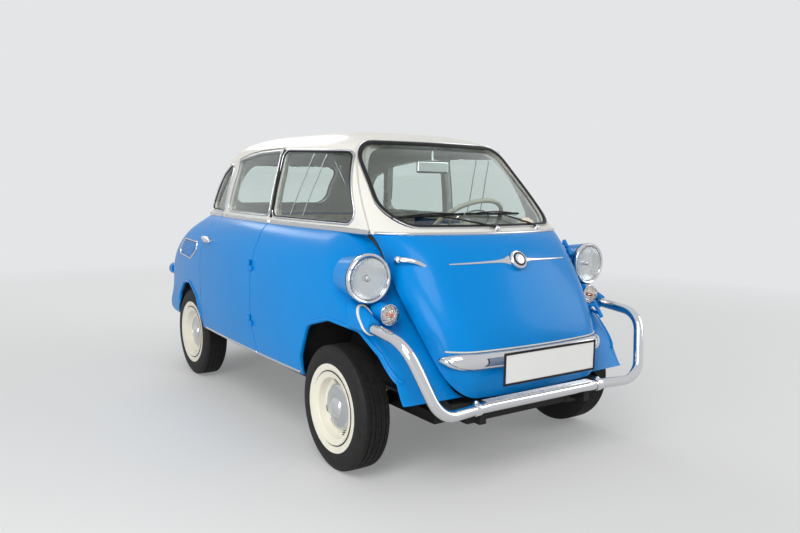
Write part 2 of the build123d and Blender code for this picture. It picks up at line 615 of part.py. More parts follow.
dash_shelf = (egg_inner - loft_rows(NOSE, 125)) & box(-800, 800, -1500, 0, 902, 914)
dash_shelf = dash_shelf & ahead_of_seam(12)

TAIL_AT = (560.0, 1352.0, 560.0)
tail_lamp = Pos(TAIL_AT[0], TAIL_AT[1] - 10, TAIL_AT[2]) * Rot(90, 0, 0) * Cylinder(34, 70) - hull

# ---------------------------------------------------------------- front door hinges on the left
HINGE_X = 506.0
HINGE_AHEAD = 50.0
LEAN = math.hypot(1.0, SEAM_SLOPE)
HINGE_DIR = (0.0, SEAM_SLOPE / LEAN, 1.0 / LEAN)
HINGE_AT = (HINGE_X, seam_y(700) - HINGE_AHEAD / LEAN, 700 + HINGE_AHEAD * SEAM_SLOPE / LEAN)


def on_hinge(s):
    return tuple(h + d * s for h, d in zip(HINGE_AT, HINGE_DIR))


print("front hinge", [round(v, 2) for v in HINGE_AT], [round(v, 5) for v in HINGE_DIR])
hinge_arms = []
for body_s, door_s, root_x in ((129, 171, 548), (-193, -151, 575)):
    fixed = bar(9, on_hinge(body_s - 19), on_hinge(body_s + 19))
    fixed_at = on_hinge(body_s)
    fixed = fixed + bar(7, fixed_at, (root_x, fixed_at[1] + 190, fixed_at[2]))
    hinge_arms.append(fixed - hull)
    swung = bar(9, on_hinge(door_s - 19), on_hinge(door_s + 19))
    swung_at = on_hinge(door_s)
    swung = swung + bar(7, swung_at, (430, swung_at[1] + 40, swung_at[2]))
    front_door_lower = front_door_lower + (swung - egg)
front_hinges = Compound(children=[s for h in hinge_arms for s in h.solids()])


# ---------------------------------------------------------------- side door hinges, on its front edge
DOOR_PIN = (-693.0, -158.0)  # x and y of the upright hinge line
DOOR_HINGES = (480.0, 740.0)
KNUCKLE = 6.0                # radius of the hinge knuckles
LEAF_HIGH = 24.0


def door_leaf(z, way):
    """Knuckle and strap of one leaf: -1 the body's, below and ahead of the pin, 1 the door's."""
    x, y = DOOR_PIN
    low, high = sorted((z + way, z + way * LEAF_HIGH))
    strap = box(x - 4, x + 5, *sorted((y + way * 2, y + way * 27)), low, high)
    root = box(x - 4, x + 13, *sorted((y + way * 14, y + way * 27)), low, high)
    return bar(KNUCKLE, (x, y, low), (x, y, high)) + strap + root


def leaf_room(z, way):
    """Round space that the other leaf's knuckle needs in a panel."""
    low, high = sorted((z, z + way * (LEAF_HIGH + 6)))
    return bar(KNUCKLE + 5, (*DOOR_PIN, low), (*DOOR_PIN, high))


for z in DOOR_HINGES:
    side_right = side_right - leaf_room(z, 1) + door_leaf(z, -1)
    side_door_lower = side_door_lower - leaf_room(z, -1) + door_leaf(z, 1)

# ---------------------------------------------------------------- engine lid hinges, on its top edge
LID_PIN = (1108.0, 880.0)    # y and z of the hinge line, just off the skin
BODY_ROOT = (1066.0, 884.0)  # where the body's arms and the lid's arms end inside their walls
LID_ROOT = (1100.0, 856.0)
LID_ARM = 5.0
for x in (-180.0, 180.0):
    rear_body = rear_body + bar(KNUCKLE, (x - 22, *LID_PIN), (x - 1, *LID_PIN))
    rear_body = rear_body + bar(LID_ARM, (x - 12, *LID_PIN), (x - 12, *BODY_ROOT))
    engine_lid = engine_lid + bar(KNUCKLE, (x + 1, *LID_PIN), (x + 22, *LID_PIN))
    engine_lid = engine_lid + bar(LID_ARM, (x + 12, *LID_PIN), (x + 12, *LID_ROOT))

nodes.update(
    chassis_frame=frame,
    floor_pan=floor_pan,
    wheel_wells=wheel_wells,
    side_left=side_left,
    side_right=side_right,
    rear_body=rear_body,
    engine_lid=engine_lid,
    roof=roof,
    front_door_lower=front_door_lower,
    front_door_upper=front_door_upper,
    windscreen=windscreen,
    side_door_lower=side_door_lower,
    side_door_upper=side_door_upper,
    side_door_glass=side_door_glass,
    side_glass=side_glass,
    rear_glass=rear_glass,
    front_axle=front_axle,
    knuckle_left=knuckle(1),
    knuckle_right=knuckle(-1),
    rear_axle=rear_axle,
    engine=engine,
    exhaust=exhaust,
    front_cushion=front_cushion,
    front_backrest=front_backrest,
    rear_cushion=rear_cushion,
    rear_backrest=rear_backrest,
    seat_bases=seat_bases,
    steering_column=steering_column,
    steering_wheel=steering_wheel,
    headlamp_pods=headlamp_pods,
    headlamps=headlamps,
    front_bosses=Compound(children=[*both(turn_boss).solids(), *both(hoop_boss).solids()]),
    turn_lamps=both(turn_lens),
    tail_lamps=both(tail_lamp),
    front_bumper=front_bumper,
    rear_bumper=rear_bumper,
    front_blade=front_blade,
    number_plate=number_plate,
    emblem=emblem,
    front_door_handle=front_door_handle,
    side_door_handle=side_door_handle,
    wipers=wipers,
    inner_mirror=inner_mirror,
    dash_shelf=dash_shelf,
    front_hinges=front_hinges,
)

os.makedirs("parts", exist_ok=True)
for name, shape in nodes.items():
    print(name, len(shape.solids()), round(shape.volume / 1e6, 3))
    export_step(shape, f"parts/{name}.step")
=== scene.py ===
import json
import math

import bmesh
import bpy
from mathutils import Matrix, Vector
from mathutils.bvhtree import BVHTree

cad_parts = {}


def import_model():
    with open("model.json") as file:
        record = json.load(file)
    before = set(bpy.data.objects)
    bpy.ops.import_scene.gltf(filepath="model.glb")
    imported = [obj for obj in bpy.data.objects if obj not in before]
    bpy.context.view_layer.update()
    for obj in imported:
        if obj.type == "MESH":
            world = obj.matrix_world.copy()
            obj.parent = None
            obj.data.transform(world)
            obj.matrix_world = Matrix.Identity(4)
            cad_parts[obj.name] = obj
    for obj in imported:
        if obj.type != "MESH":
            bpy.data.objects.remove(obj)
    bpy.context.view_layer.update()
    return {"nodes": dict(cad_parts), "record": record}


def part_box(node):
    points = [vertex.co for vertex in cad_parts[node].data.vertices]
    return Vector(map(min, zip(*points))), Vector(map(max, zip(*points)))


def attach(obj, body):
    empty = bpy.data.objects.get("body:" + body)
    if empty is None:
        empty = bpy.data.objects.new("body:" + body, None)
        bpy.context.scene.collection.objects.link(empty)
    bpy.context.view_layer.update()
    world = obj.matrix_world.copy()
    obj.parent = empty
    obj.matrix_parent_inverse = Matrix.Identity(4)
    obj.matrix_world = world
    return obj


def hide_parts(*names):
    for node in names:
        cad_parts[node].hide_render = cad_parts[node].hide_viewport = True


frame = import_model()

# A four-wheeled bubble car. Metres, +Z up, -Y the front, +X the car's own left.
NODES = frame["nodes"]
UP = Vector((0, 0, 1))
LEFT = Vector((1, 0, 0))
REARWARD = Vector((0, 1, 0))
HANDS = {1: "left", -1: "right"}


# ---- material helpers
def linear(code):
    """An sRGB hex colour as linear RGBA."""
    parts = [int(code[i:i + 2], 16) / 255 for i in (1, 3, 5)]
    return tuple(p / 12.92 if p <= 0.04045 else ((p + 0.055) / 1.055) ** 2.4 for p in parts) + (1.0,)


def add(tree, kind, links=None, **settings):
    """Adds a node. settings go to its sockets by name with _ for a space, or else to its properties."""
    made = tree.nodes.new(kind)
    for key, value in settings.items():
        socket = made.inputs.get(key.replace("_", " "))
        if socket is not None:
            socket.default_value = value
        else:
            setattr(made, key, value)
    for name, source in (links or {}).items():
        tree.links.new(source, made.inputs[name])
    return made


def new_material(name, code, **sockets):
    """A Principled material and its tree, its colour and values set on the shader's own sockets."""
    material = bpy.data.materials.new(name)
    material.use_nodes = True
    tree = material.node_tree
    shader = tree.nodes["Principled BSDF"]
    shader.inputs["Base Color"].default_value = linear(code)
    for key, value in sockets.items():
        shader.inputs[key.replace("_", " ")].default_value = value
    return material, tree, shader


def grain(tree, shader, size, strength):
    """Fine bump of a given feature size in metres, on Object coordinates."""
    place = add(tree, "ShaderNodeTexCoord")
    noise = add(tree, "ShaderNodeTexNoise", {"Vector": place.outputs["Object"]}, Scale=1.0 / size,
                Detail=3.0)
    bump = add(tree, "ShaderNodeBump", {"Height": noise.outputs["Fac"]}, Strength=strength, Distance=0.0004)
    tree.links.new(bump.outputs["Normal"], shader.inputs["Normal"])
    return noise


def mottle(tree, shader, low, high, size):
    """Slow drift of the colour between two hex colours."""
    place = add(tree, "ShaderNodeTexCoord")
    noise = add(tree, "ShaderNodeTexNoise", {"Vector": place.outputs["Object"]}, Scale=1.0 / size, Detail=4.0)
    ramp = add(tree, "ShaderNodeValToRGB", {"Fac": noise.outputs["Fac"]})
    ramp.color_ramp.elements[0].position = 0.35
    ramp.color_ramp.elements[0].color = linear(low)
    ramp.color_ramp.elements[1].position = 0.65
    ramp.color_ramp.elements[1].color = linear(high)
    tree.links.new(ramp.outputs["Color"], shader.inputs["Base Color"])


def enamel(name, low, high, coat=0.35):
    """Sprayed and baked enamel: even colour, a clear wet gloss and a faint orange peel."""
    material, tree, shader = new_material(name, low, Roughness=0.26, Coat_Weight=coat, Coat_Roughness=0.05,
                                          Specular_IOR_Level=0.12)
    mottle(tree, shader, low, high, 0.35)
    grain(tree, shader, 0.006, 0.03)
    return material


def plated(name, code, roughness):
    """Plated or polished metal, with the slight haze that wiping leaves."""
    material, tree, shader = new_material(name, code, Metallic=1.0, Roughness=roughness)
    haze = grain(tree, shader, 0.03, 0.02)
    span = add(tree, "ShaderNodeMapRange", {"Value": haze.outputs["Fac"]},
               To_Min=roughness * 0.7, To_Max=roughness * 1.6)
    tree.links.new(span.outputs["Result"], shader.inputs["Roughness"])
    return material


def matte(name, low, high, roughness, size, strength):
    """Moulded rubber or sprayed chassis black: dull, grainy, a little uneven in tone."""
    material, tree, shader = new_material(name, low, Roughness=roughness, Specular_IOR_Level=0.25)
    mottle(tree, shader, low, high, size * 12)
    grain(tree, shader, size, strength)
    return material


def clear(name, code, roughness=0.0):
    """Drawn or pressed glass."""
    return new_material(name, code, Roughness=roughness, IOR=1.5, Transmission_Weight=1.0)


def bands(tree, pitch, direction):
    """Straight waves across Object coordinates, a pitch in metres apart."""
    place = add(tree, "ShaderNodeTexCoord")
    return add(tree, "ShaderNodeTexWave", {"Vector": place.outputs["Object"]}, bands_direction=direction,
               Scale=math.tau / pitch / 20)


def flutes(tree, shader, pitch, strength, direction="X"):
    """Straight pressed flutes across a lens."""
    wave = bands(tree, pitch, direction)
    bump = add(tree, "ShaderNodeBump", {"Height": wave.outputs["Fac"]}, Strength=strength, Distance=0.0012)
    tree.links.new(bump.outputs["Normal"], shader.inputs["Normal"])


def cloth_weave(name, low, high, thread=0.004):
    """Coarse upholstery weave. Threads are drawn 4 mm apart so that they show at this distance."""
    material, tree, shader = new_material(name, low, Roughness=0.85, Sheen_Weight=0.3)
    mottle(tree, shader, low, high, 0.05)
    waves = [bands(tree, thread, direction) for direction in ("X", "Y")]
    crossed = add(tree, "ShaderNodeMath", {0: waves[0].outputs["Fac"], 1: waves[1].outputs["Fac"]},
                  operation="MAXIMUM")
    bump = add(tree, "ShaderNodeBump", {"Height": crossed.outputs[0]}, Strength=0.5, Distance=0.001)
    tree.links.new(bump.outputs["Normal"], shader.inputs["Normal"])
    return material


# Baked enamel, sprayed: a saturated sky blue that stays even, with a wet gloss over it.
BLUE = enamel("sky_blue_enamel", "#0082CF", "#0085D3", 0.06)
# Baked enamel, sprayed: warm white, soft reflections, no tint in the shade.
WHITE = enamel("ivory_white_enamel", "#E0DED6", "#E4E2DA", 0.2)
# Enamelled pressed steel wheels: creamier than the roof and a little duller.
CREAM = enamel("cream_wheel_enamel", "#E2DECD", "#E7E3D4", 0.15)
# Blue enamel in the shade of a grille: reads as a deep teal.
SHADED_BLUE = enamel("shaded_blue_enamel", "#05507E", "#085C8C", 0.1)
# Bright chromium over nickel, polished steel below: a near mirror.
CHROME = plated("chrome_plate", "#D6D7DA", 0.06)
# Rolled and brushed aluminium strip: softer and whiter than chrome.
ALUMINIUM = plated("brushed_aluminium_trim", "#C9CBCD", 0.2)
# Steel silencer, heat-dulled: grey-brown with blurred highlights.
STEEL = plated("exhaust_steel", "#8A857E", 0.4)
# Vacuum-silvered bowl or mirror: the brightest reflection on the car.
REFLECTOR = plated("silvered_reflector", "#E6E6E6", 0.1)
# Moulded EPDM-like seal rubber: black with a faint sheen. The same black also stands for painted shade in the
# gap at the window post, the rim slots, the louvre slits and the band behind each headlamp ring.
BLACK_RUBBER_AND_SHADE = matte("black_rubber_and_painted_shade", "#141414", "#1C1C1C", 0.5, 0.003, 0.1)
# Vulcanised tyre rubber, clean: dark warm grey, quite dull.
TYRE = matte("tyre_rubber", "#1B1B1B", "#232221", 0.65, 0.002, 0.15)
# Vulcanised white rubber: off-white, with the chalky look of a scrubbed band.
WHITEWALL = matte("whitewall_rubber", "#E0DCCC", "#E6E2D5", 0.6, 0.003, 0.06)
# Chassis black sprayed on steel: half dull, slightly uneven.
CHASSIS = matte("chassis_black_paint", "#161616", "#20201F", 0.5, 0.004, 0.12)
# Sand-cast aluminium: matt grey with a coarse skin.
CAST = matte("cast_aluminium_casing", "#6A6B6C", "#7A7B7B", 0.6, 0.002, 0.3)
# Moulded rubber floor mat: dark grey and grainy.
MAT = matte("ribbed_rubber_mat", "#2A2A29", "#353533", 0.8, 0.004, 0.2)
# Moulded cream rubber gasket: soft, dull and yellowish.
GASKET = matte("cream_rubber_gasket", "#DDD6C0", "#E4DECA", 0.6, 0.003, 0.08)
# Drawn window glass: clear with a breath of green.
GLASS, _, _ = clear("drawn_window_glass", "#EAF3F0")
# Pressed headlamp glass, fluted upright so that the bowl behind breaks up into bands.
LENS, lens_tree, lens_shader = clear("fluted_lamp_glass", "#F4F7F8", 0.02)
flutes(lens_tree, lens_shader, 0.009, 0.5)
# Moulded clear acrylic, fluted by its own shape.
CLEAR_LENS, _, _ = clear("clear_acrylic_lens", "#F6F1EC", 0.04)
# Amber-dipped bulb glass: shows orange through the clear lens.
AMBER, _, _ = new_material("amber_bulb_glass", "#E0622A", Roughness=0.2, Coat_Weight=0.5)
# Moulded red acrylic: deep red where thick, brighter at its edge.
RED, red_tree, red_shader = clear("red_acrylic_lens", "#C8241A", 0.08)
flutes(red_tree, red_shader, 0.006, 0.4, "Z")
# Woven upholstery cloth: grey-beige, coarse, with a light nap.
WEAVE = cloth_weave("grey_beige_upholstery", "#8D877B", "#A29B8D")
# Coated fabric welt: the same colour as the cloth but smooth.
WELT = matte("vinyl_seat_piping", "#6E695E", "#787267", 0.5, 0.002, 0.1)
# Enamelled sheet, blank: flat cool white with a low gloss.
PLATE = enamel("blank_plate_enamel", "#EDEDEA", "#F0F0EE", 0.2)
# Cast celluloid over steel: ivory, polished by hands.
IVORY, _, _ = new_material("ivory_celluloid_rim", "#E6DFC8", Roughness=0.25, Coat_Weight=0.4)
# Stove-enamelled instrument face: matt near-black.
DIAL = matte("black_instrument_enamel", "#101011", "#151516", 0.4, 0.002, 0.05)

# Each record slot and its finishes. The first of them dresses the CAD's own solids.
SLOT_FINISHES = {
    "blue_enamel": (BLUE, SHADED_BLUE), "white_enamel": (WHITE,), "glass": (GLASS,),
    "black_steel": (CHASSIS,), "cast_engine": (CAST,), "exhaust_steel": (STEEL,),
    "seat_cloth": (WEAVE, WELT), "cream_plastic": (IVORY,),
    "chrome": (CHROME, ALUMINIUM), "lamp_lens": (LENS,), "turn_lens": (CLEAR_LENS, AMBER),
    "tail_lens": (RED,), "plate_white": (PLATE,), "wiper_black": (BLACK_RUBBER_AND_SHADE, DIAL),
    "mirror_glass": (REFLECTOR,), "tyre_rubber": (TYRE,), "cream_wheel": (CREAM, WHITEWALL, GASKET),
}
NODE_SLOT = {entry["node"]: entry["material_slot"] for entry in frame["record"]["subparts"]}
for name, node in NODES.items():
    node.data.materials.clear()
    node.data.materials.append(SLOT_FINISHES[NODE_SLOT[name]][0])
NODES["floor_pan"].data.materials[0] = MAT


# ---- mesh helpers
MERGE = 1e-6                           # points this close are one


def mesh_of(bm, name):
    """Mesh data of a bmesh, which is freed."""
    mesh = bpy.data.meshes.new(name)
    bm.to_mesh(mesh)
    bm.free()
    return mesh


def placed(name, data):
    """New object of the scene for a mesh, a lamp or a camera."""
    made = bpy.data.objects.new(name, data)
    bpy.context.scene.collection.objects.link(made)
    return made


def cleaned(bm):
    """Merges what coincides and turns the faces outwards."""
    bmesh.ops.remove_doubles(bm, verts=bm.verts, dist=MERGE)
    bmesh.ops.recalc_face_normals(bm, faces=bm.faces)


def piece(bm, name, body, material, sharp=35.0, stands_for=()):
    """Turns a bmesh into a finished piece on a body, in the slot of its finish."""
    cleaned(bm)
    mesh = mesh_of(bm, name)
    mesh.materials.append(material)
    mesh.shade_smooth()
    mesh.set_sharp_from_angle(angle=math.radians(sharp))
    made = placed(name, mesh)
    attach(made, body)
    if stands_for:
        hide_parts(*stands_for)


def joined(*meshes):
    """Several bmeshes as one."""
    whole = bmesh.new()
    for part in meshes:
        cleaned(part)
        held = mesh_of(part, "held")
        whole.from_mesh(held)
        bpy.data.meshes.remove(held)
    return whole


def axes(across, out, along, at):
    """Matrix whose X, Y and Z columns are those directions, at a point."""
    turn = Matrix((across, out, along)).transposed().to_4x4()
    turn.translation = at
    return turn


def facing(way, at, roll=None):
    """Matrix at a point whose Z column looks along a direction."""
    along = Vector(way).normalized()
    across = (roll or UP).cross(along).normalized()
    return axes(across, along.cross(across), along, Vector(at))


def lathe(profile, place, steps=64):
    """Spins (radius, distance) points about Z, then puts the result in place.

    A profile that starts off the axis is a ring's, and is closed.
    """
    bm = bmesh.new()
    loop = profile + profile[:1] if profile[0][0] else profile
    verts = [bm.verts.new((r, 0, d)) for r, d in loop]
    edges = [bm.edges.new(pair) for pair in zip(verts, verts[1:])]
    bmesh.ops.spin(bm, geom=verts + edges, cent=(0, 0, 0), axis=(0, 0, 1), angle=math.tau,
                   steps=steps, use_merge=True)
    bmesh.ops.remove_doubles(bm, verts=bm.verts, dist=MERGE)
    bmesh.ops.transform(bm, matrix=place, verts=bm.verts)
    return bm


def turned(name, profile, place, body, material, steps=64, sharp=35.0, stands_for=()):
    """A finished piece spun from a profile."""
    piece(lathe(profile, place, steps), name, body, material, sharp, stands_for)


def slab(size, place, bevel):
    """Plate or block with softened edges."""
    bm = bmesh.new()
    bmesh.ops.create_cube(bm, size=1.0, matrix=Matrix.Diagonal((*size, 1.0)))
    bmesh.ops.bevel(bm, geom=bm.edges[:], offset=bevel, offset_type="OFFSET", affect="EDGES", segments=2,
                    profile=0.5, material=-1)
    bmesh.ops.transform(bm, matrix=place, verts=bm.verts)
    return bm


def swept(section, frames, closed=False):
    """Carries a closed section of (across, out) points along a list of matrices."""
    bm = bmesh.new()
    verts = [bm.verts.new(frames[0] @ Vector((a, o, 0))) for a, o in section]
    edges = [bm.edges.new((verts[i - 1], verts[i])) for i in range(len(verts))]
    if not closed:
        bm.faces.new(verts)
    for before, after in zip(frames, frames[1:]):
        made = bmesh.ops.extrude_edge_only(bm, edges=edges)["geom"]
        fresh = {g for g in made if isinstance(g, bmesh.types.BMVert)}
        edges = [g for g in made if isinstance(g, bmesh.types.BMEdge) and set(g.verts) <= fresh]
        bmesh.ops.transform(bm, matrix=after @ before.inverted(), verts=list(fresh))
    if not closed:
        bmesh.ops.edgeloop_fill(bm, edges=edges)
    return bm


def tapered(frames, size_at):
    """Frames whose section is scaled by size_at(t), t running from 0 to 1 along the path."""
    last = len(frames) - 1
    return [f @ Matrix.Diagonal((*size_at(i / last), 1.0, 1.0)) for i, f in enumerate(frames)]


def round_section(radius, sides):
    """Round bar or wire."""
    turns = [math.tau * i / sides for i in range(sides)]
    return [(radius * math.cos(t), radius * math.sin(t)) for t in turns]


BEAD_FOOT = 0.002                       # how deep a moulding is let into the skin that carries it


def bead_section(width, height):
    """Half-round moulding, flat underneath, that sits on a skin."""
    turns = [math.pi * i / 8 for i in range(9)]
    bead = [(width / 2 * math.cos(t), height * math.sin(t)) for t in turns]
    return bead + [(-width / 2, -BEAD_FOOT), (width / 2, -BEAD_FOOT)]


def frames_on(path, closed=False):
    """Matrices along a path of (point, normal) pairs, with Y out of the skin."""
    made = []
    count = len(path)
    for i, (point, normal) in enumerate(path):
        ahead = path[(i + 1) % count][0] if closed or i + 1 < count else point
        behind = path[i - 1][0] if closed or i else point
        along = (ahead - behind).normalized()
        across = normal.cross(along).normalized()
        made.append(axes(across, along.cross(across), along, point))
    if closed:
        made.append(made[0].copy())
    return made


def offset_outline(points, amount):
    """A flat closed outline with every side moved out by an amount."""
    flat = [Vector(p) for p in points]
    area = sum(a.x * b.y - b.x * a.y for a, b in zip(flat, flat[1:] + flat[:1]))
    way = math.copysign(1.0, area)
    out = []
    for i, here in enumerate(flat):
        before = (here - flat[i - 1]).normalized()
        after = (flat[(i + 1) % len(flat)] - here).normalized()
        normals = [Vector((d.y, -d.x)) * way for d in (before, after)]
        middle = (normals[0] + normals[1]).normalized()
        out.append(here + middle * (amount / middle.dot(normals[0])))
    return out


def rounded(points, radius, step=0.02):
    """A closed flat outline with its corners as arcs, in even steps."""
    flat = [Vector(p) for p in points]
    out = []
    count = len(flat)
    for i in range(count):
        here, before, after = flat[i], flat[i - 1], flat[(i + 1) % count]
        a, b = (before - here).normalized(), (after - here).normalized()
        half = a.angle(b) / 2
        reach = radius / math.tan(half)
        centre = here + (a + b).normalized() * (radius / math.sin(half))
        start, end = (here + a * reach - centre).normalized(), (here + b * reach - centre).normalized()
        out += [centre + start.slerp(end, k / 8) * radius for k in range(9)]
    even = []
    for p, q in zip(out, out[1:] + out[:1]):
        cuts = max(1, round((q - p).length / step))
        even += [p.lerp(q, k / cuts) for k in range(cuts)]
    return even


def skin(*names):
    """Tree of the surfaces of some CAD nodes, for laying trim on them."""
    bm = bmesh.new()
    for name in names:
        bm.from_mesh(NODES[name].data)
    tree = BVHTree.FromBMesh(bm)
    bm.free()
    return tree


def evened(run, closed=False):
    """A run with each normal averaged over its neighbours, because a faceted skin gives them in steps."""
    count = len(run)
    out = []
    for i, (spot, _) in enumerate(run):
        near = [j % count if closed else min(max(j, 0), count - 1) for j in range(i - 2, i + 3)]
        out.append((spot, sum((run[j][1] for j in near), Vector()).normalized()))
    return out


def skin_point(tree, origin, way, reach):
    """Point where a ray meets a skin, and the normal there that looks back along it, or else None."""
    spot, normal, _, _ = tree.ray_cast(origin, way, reach)
    if spot is None:
        return None
    return spot, normal if normal.dot(way) < 0 else -normal


def laid(tree, rays):
    """Unbroken stretches of a skin met by rays in turn, each a list of (point, outward normal) pairs."""
    runs = [[]]
    for ray in rays:
        met = skin_point(tree, *ray)
        if met:
            runs[-1].append(met)
        elif runs[-1]:
            runs.append([])
    return [evened(run) for run in runs if len(run) > 3]


def looped(tree, rays):
    """The same rays as one closed path. Those that miss are left out."""
    return evened(sum(laid(tree, rays), []), True)


# rays start this far out and stop before the far side
SIDE_START, SIDE_REACH = 1.2, 1.1
END_START, END_REACH = 2.0, 1.5
BELT_REACH = 1.6


def side_rays(edge, side, reach=SIDE_REACH):
    """Rays along X from a side, through (y, z) points: start, direction and reach."""
    return [(Vector((side * SIDE_START, y, z)), LEFT * -side, reach) for y, z in edge]


def end_rays(edge, end):
    """Rays along Y from in front (-1) or behind (1), through (x, z) points."""
    return [(Vector((x, end * END_START, z)), REARWARD * -end, END_REACH) for x, z in edge]


def between(start, end, count):
    """Even points on a straight line between two flat points."""
    return [Vector(start).lerp(Vector(end), i / (count - 1)) for i in range(count)]


# ---- window frames and seals
WINDOW_SILL = 0.968
FRONT_WINDOW = [(-0.800, WINDOW_SILL), (-0.640, 1.258), (-0.140, 1.272), (-0.112, WINDOW_SILL)]
MIDDLE_WINDOW = [(-0.070, WINDOW_SILL), (-0.100, 1.272), (0.140, 1.266), (0.410, 1.234), (0.486, WINDOW_SILL)]
QUARTER = [(0.520, WINDOW_SILL), (0.446, 1.226), (0.600, 1.162), (0.770, WINDOW_SILL)]
RIGHT_QUARTER = [(y + 0.046, z) for y, z in QUARTER]
SCREEN = [(-0.452, 0.966), (0.452, 0.966), (0.402, 1.300), (-0.402, 1.300)]
REAR_WINDOW = [(-0.330, 0.990), (0.330, 0.990), (0.300, 1.215), (-0.300, 1.215)]

# trim name, how far outside the opening it runs, section, finish
BRIGHT_FRAME = (
    ("window_rubber", 0.0020, bead_section(0.008, 0.0035), BLACK_RUBBER_AND_SHADE),
    ("window_frame", 0.0080, bead_section(0.010, 0.0070), ALUMINIUM),
)
NARROW_FRAME = (("window_frame", 0.0042, bead_section(0.0085, 0.0065), ALUMINIUM),)
SCREEN_SEAL = (
    ("seal", 0.0045, bead_section(0.021, 0.0080), BLACK_RUBBER_AND_SHADE),
    ("seal_insert", 0.0105, bead_section(0.0045, 0.0090), ALUMINIUM),
)


def framed(name, tree, outline, radius, rays, body, trims):
    """The trims that run round one window."""
    for label, out, section, finish in trims:
        edge = rounded(offset_outline(outline, out), radius + out)
        path = looped(tree, rays(edge))
        piece(swept(section, frames_on(path, True), True), f"{label}_{name}", body, finish)


# name, carrying node, body, outline, corner radius, side it is seen from, trims
SIDE_WINDOWS = [
    ("front_right", "roof", "car", FRONT_WINDOW, 0.036, -1, BRIGHT_FRAME),
    ("door", "side_door_upper", "side_door", MIDDLE_WINDOW, 0.026, -1, NARROW_FRAME),
    ("quarter_right", "roof", "car", RIGHT_QUARTER, 0.026, -1, BRIGHT_FRAME),
    ("front_left", "roof", "car", FRONT_WINDOW, 0.026, 1, BRIGHT_FRAME),
    ("middle_left", "roof", "car", MIDDLE_WINDOW, 0.026, 1, BRIGHT_FRAME),
    ("quarter_left", "roof", "car", QUARTER, 0.026, 1, BRIGHT_FRAME),
]
for name, carrier, body, outline, radius, side, trims in SIDE_WINDOWS:
    framed(name, skin(carrier), outline, radius, lambda edge: side_rays(edge, side), body, trims)
framed("windscreen", skin("front_door_upper"), SCREEN, 0.095, lambda edge: end_rays(edge, -1), "front_door",
       SCREEN_SEAL)
framed("rear_window", skin("roof"), REAR_WINDOW, 0.070, lambda edge: end_rays(edge, 1), "car", SCREEN_SEAL)


def strip(name, body, tree, rays, section, finish, size_at=None, lift=0.0):
    """A moulding along each unbroken stretch of a skin."""
    for index, run in enumerate(laid(tree, rays)):
        frames = frames_on([(spot + normal * lift, normal) for spot, normal in run])
        if size_at:
            frames = tapered(frames, size_at)
        piece(swept(section, frames), f"{name}_{index}" if index else name, body, finish)


# black strip over the post between the front and middle windows, standing for the dark gap there: painted
# shade; foot and head as (y, z)
POST_SHADE_STRIP = {-1: ((-0.1030, 0.958), (-0.1275, 1.280)), 1: ((-0.0910, 0.958), (-0.1200, 1.280))}
# leaning edges of the two sliding panes, foot and head as (y, z)
PANE_EDGES = (((-0.263, 0.974), (-0.392, 1.258)), ((-0.374, 0.974), (-0.497, 1.254)))
for side, hand in HANDS.items():
    foot, head = POST_SHADE_STRIP[side]
    # the black strip at the post is painted shade of the gap, not a real cover
    strip(f"post_cover_{hand}", "car", skin("roof"), side_rays(between(foot, head, 14), side),
          bead_section(0.017 if side < 0 else 0.022, 0.0095), BLACK_RUBBER_AND_SHADE)
    panes = skin("side_glass")
    for count, (foot, head) in enumerate(PANE_EDGES):
        strip(f"pane_edge_{hand}_{count}", "car", panes, side_rays(between(foot, head, 12), side),
              bead_section(0.005, 0.003), ALUMINIUM)

# ---- belt and sill mouldings
BELT_Z = 0.935


def belt_rays(first, last):
    """Rays in towards the middle of the plan, every 2 degrees from the car's left round by the rear."""
    out = []
    for degree in range(first, last + 1, 2):
        way = Vector((math.cos(math.radians(degree)), math.sin(math.radians(degree)), 0))
        out.append((way * END_START + UP * BELT_Z, -way, BELT_REACH))
    return out


WIDE_BELT = bead_section(0.026, 0.0085)
NARROW_BELT = bead_section(0.014, 0.0070)
strip("belt_side", "car", skin("roof"), belt_rays(-75, 255), WIDE_BELT, ALUMINIUM)
strip("belt_door", "side_door", skin("side_door_upper"), belt_rays(90, 250), WIDE_BELT, ALUMINIUM)
strip("belt_nose", "front_door", skin("front_door_upper"), belt_rays(-160, -20), NARROW_BELT, ALUMINIUM)

SILL_Z, SILL_ENDS = 0.328, (-0.62, 0.50)
SILL_STRIP = bead_section(0.012, 0.005)
for hand, side, node, body in (("left", 1, "side_left", "car"), ("right", -1, "side_right", "car"),
                               ("door", -1, "side_door_lower", "side_door")):
    line = between((SILL_ENDS[0], SILL_Z), (SILL_ENDS[1], SILL_Z), 60)
    strip(f"sill_strip_{hand}", body, skin(node), side_rays(line, side), SILL_STRIP, ALUMINIUM)

# ---- rolled edges of the wheel arches
FRONT_ARCH = [(-0.636, 0.200), (-0.636, 0.400), (-0.700, 0.545), (-0.850, 0.588), (-1.040, 0.575),
              (-1.150, 0.500), (-1.310, 0.345), (-1.330, 0.200)]
REAR_ARCH = [(0.520, 0.200), (0.556, 0.350), (0.632, 0.480), (0.760, 0.542), (0.880, 0.530), (0.975, 0.455),
             (1.010, 0.340), (1.010, 0.200)]
FLARE = bead_section(0.016, 0.0070)
FLARE_OUT = 0.0085                     # from the edge of the sheet to the middle of the roll
FLARE_REACH = 0.66                     # these rays stop just inside the skin
ARCH_CORNER = 0.060
# y that parts an arch's front foot from its rear one, and the height where the roll starts at each
FRONT_FEET, REAR_FEET = (-1.0, 0.405, 0.340), (0.8, 0.375, 0.335)


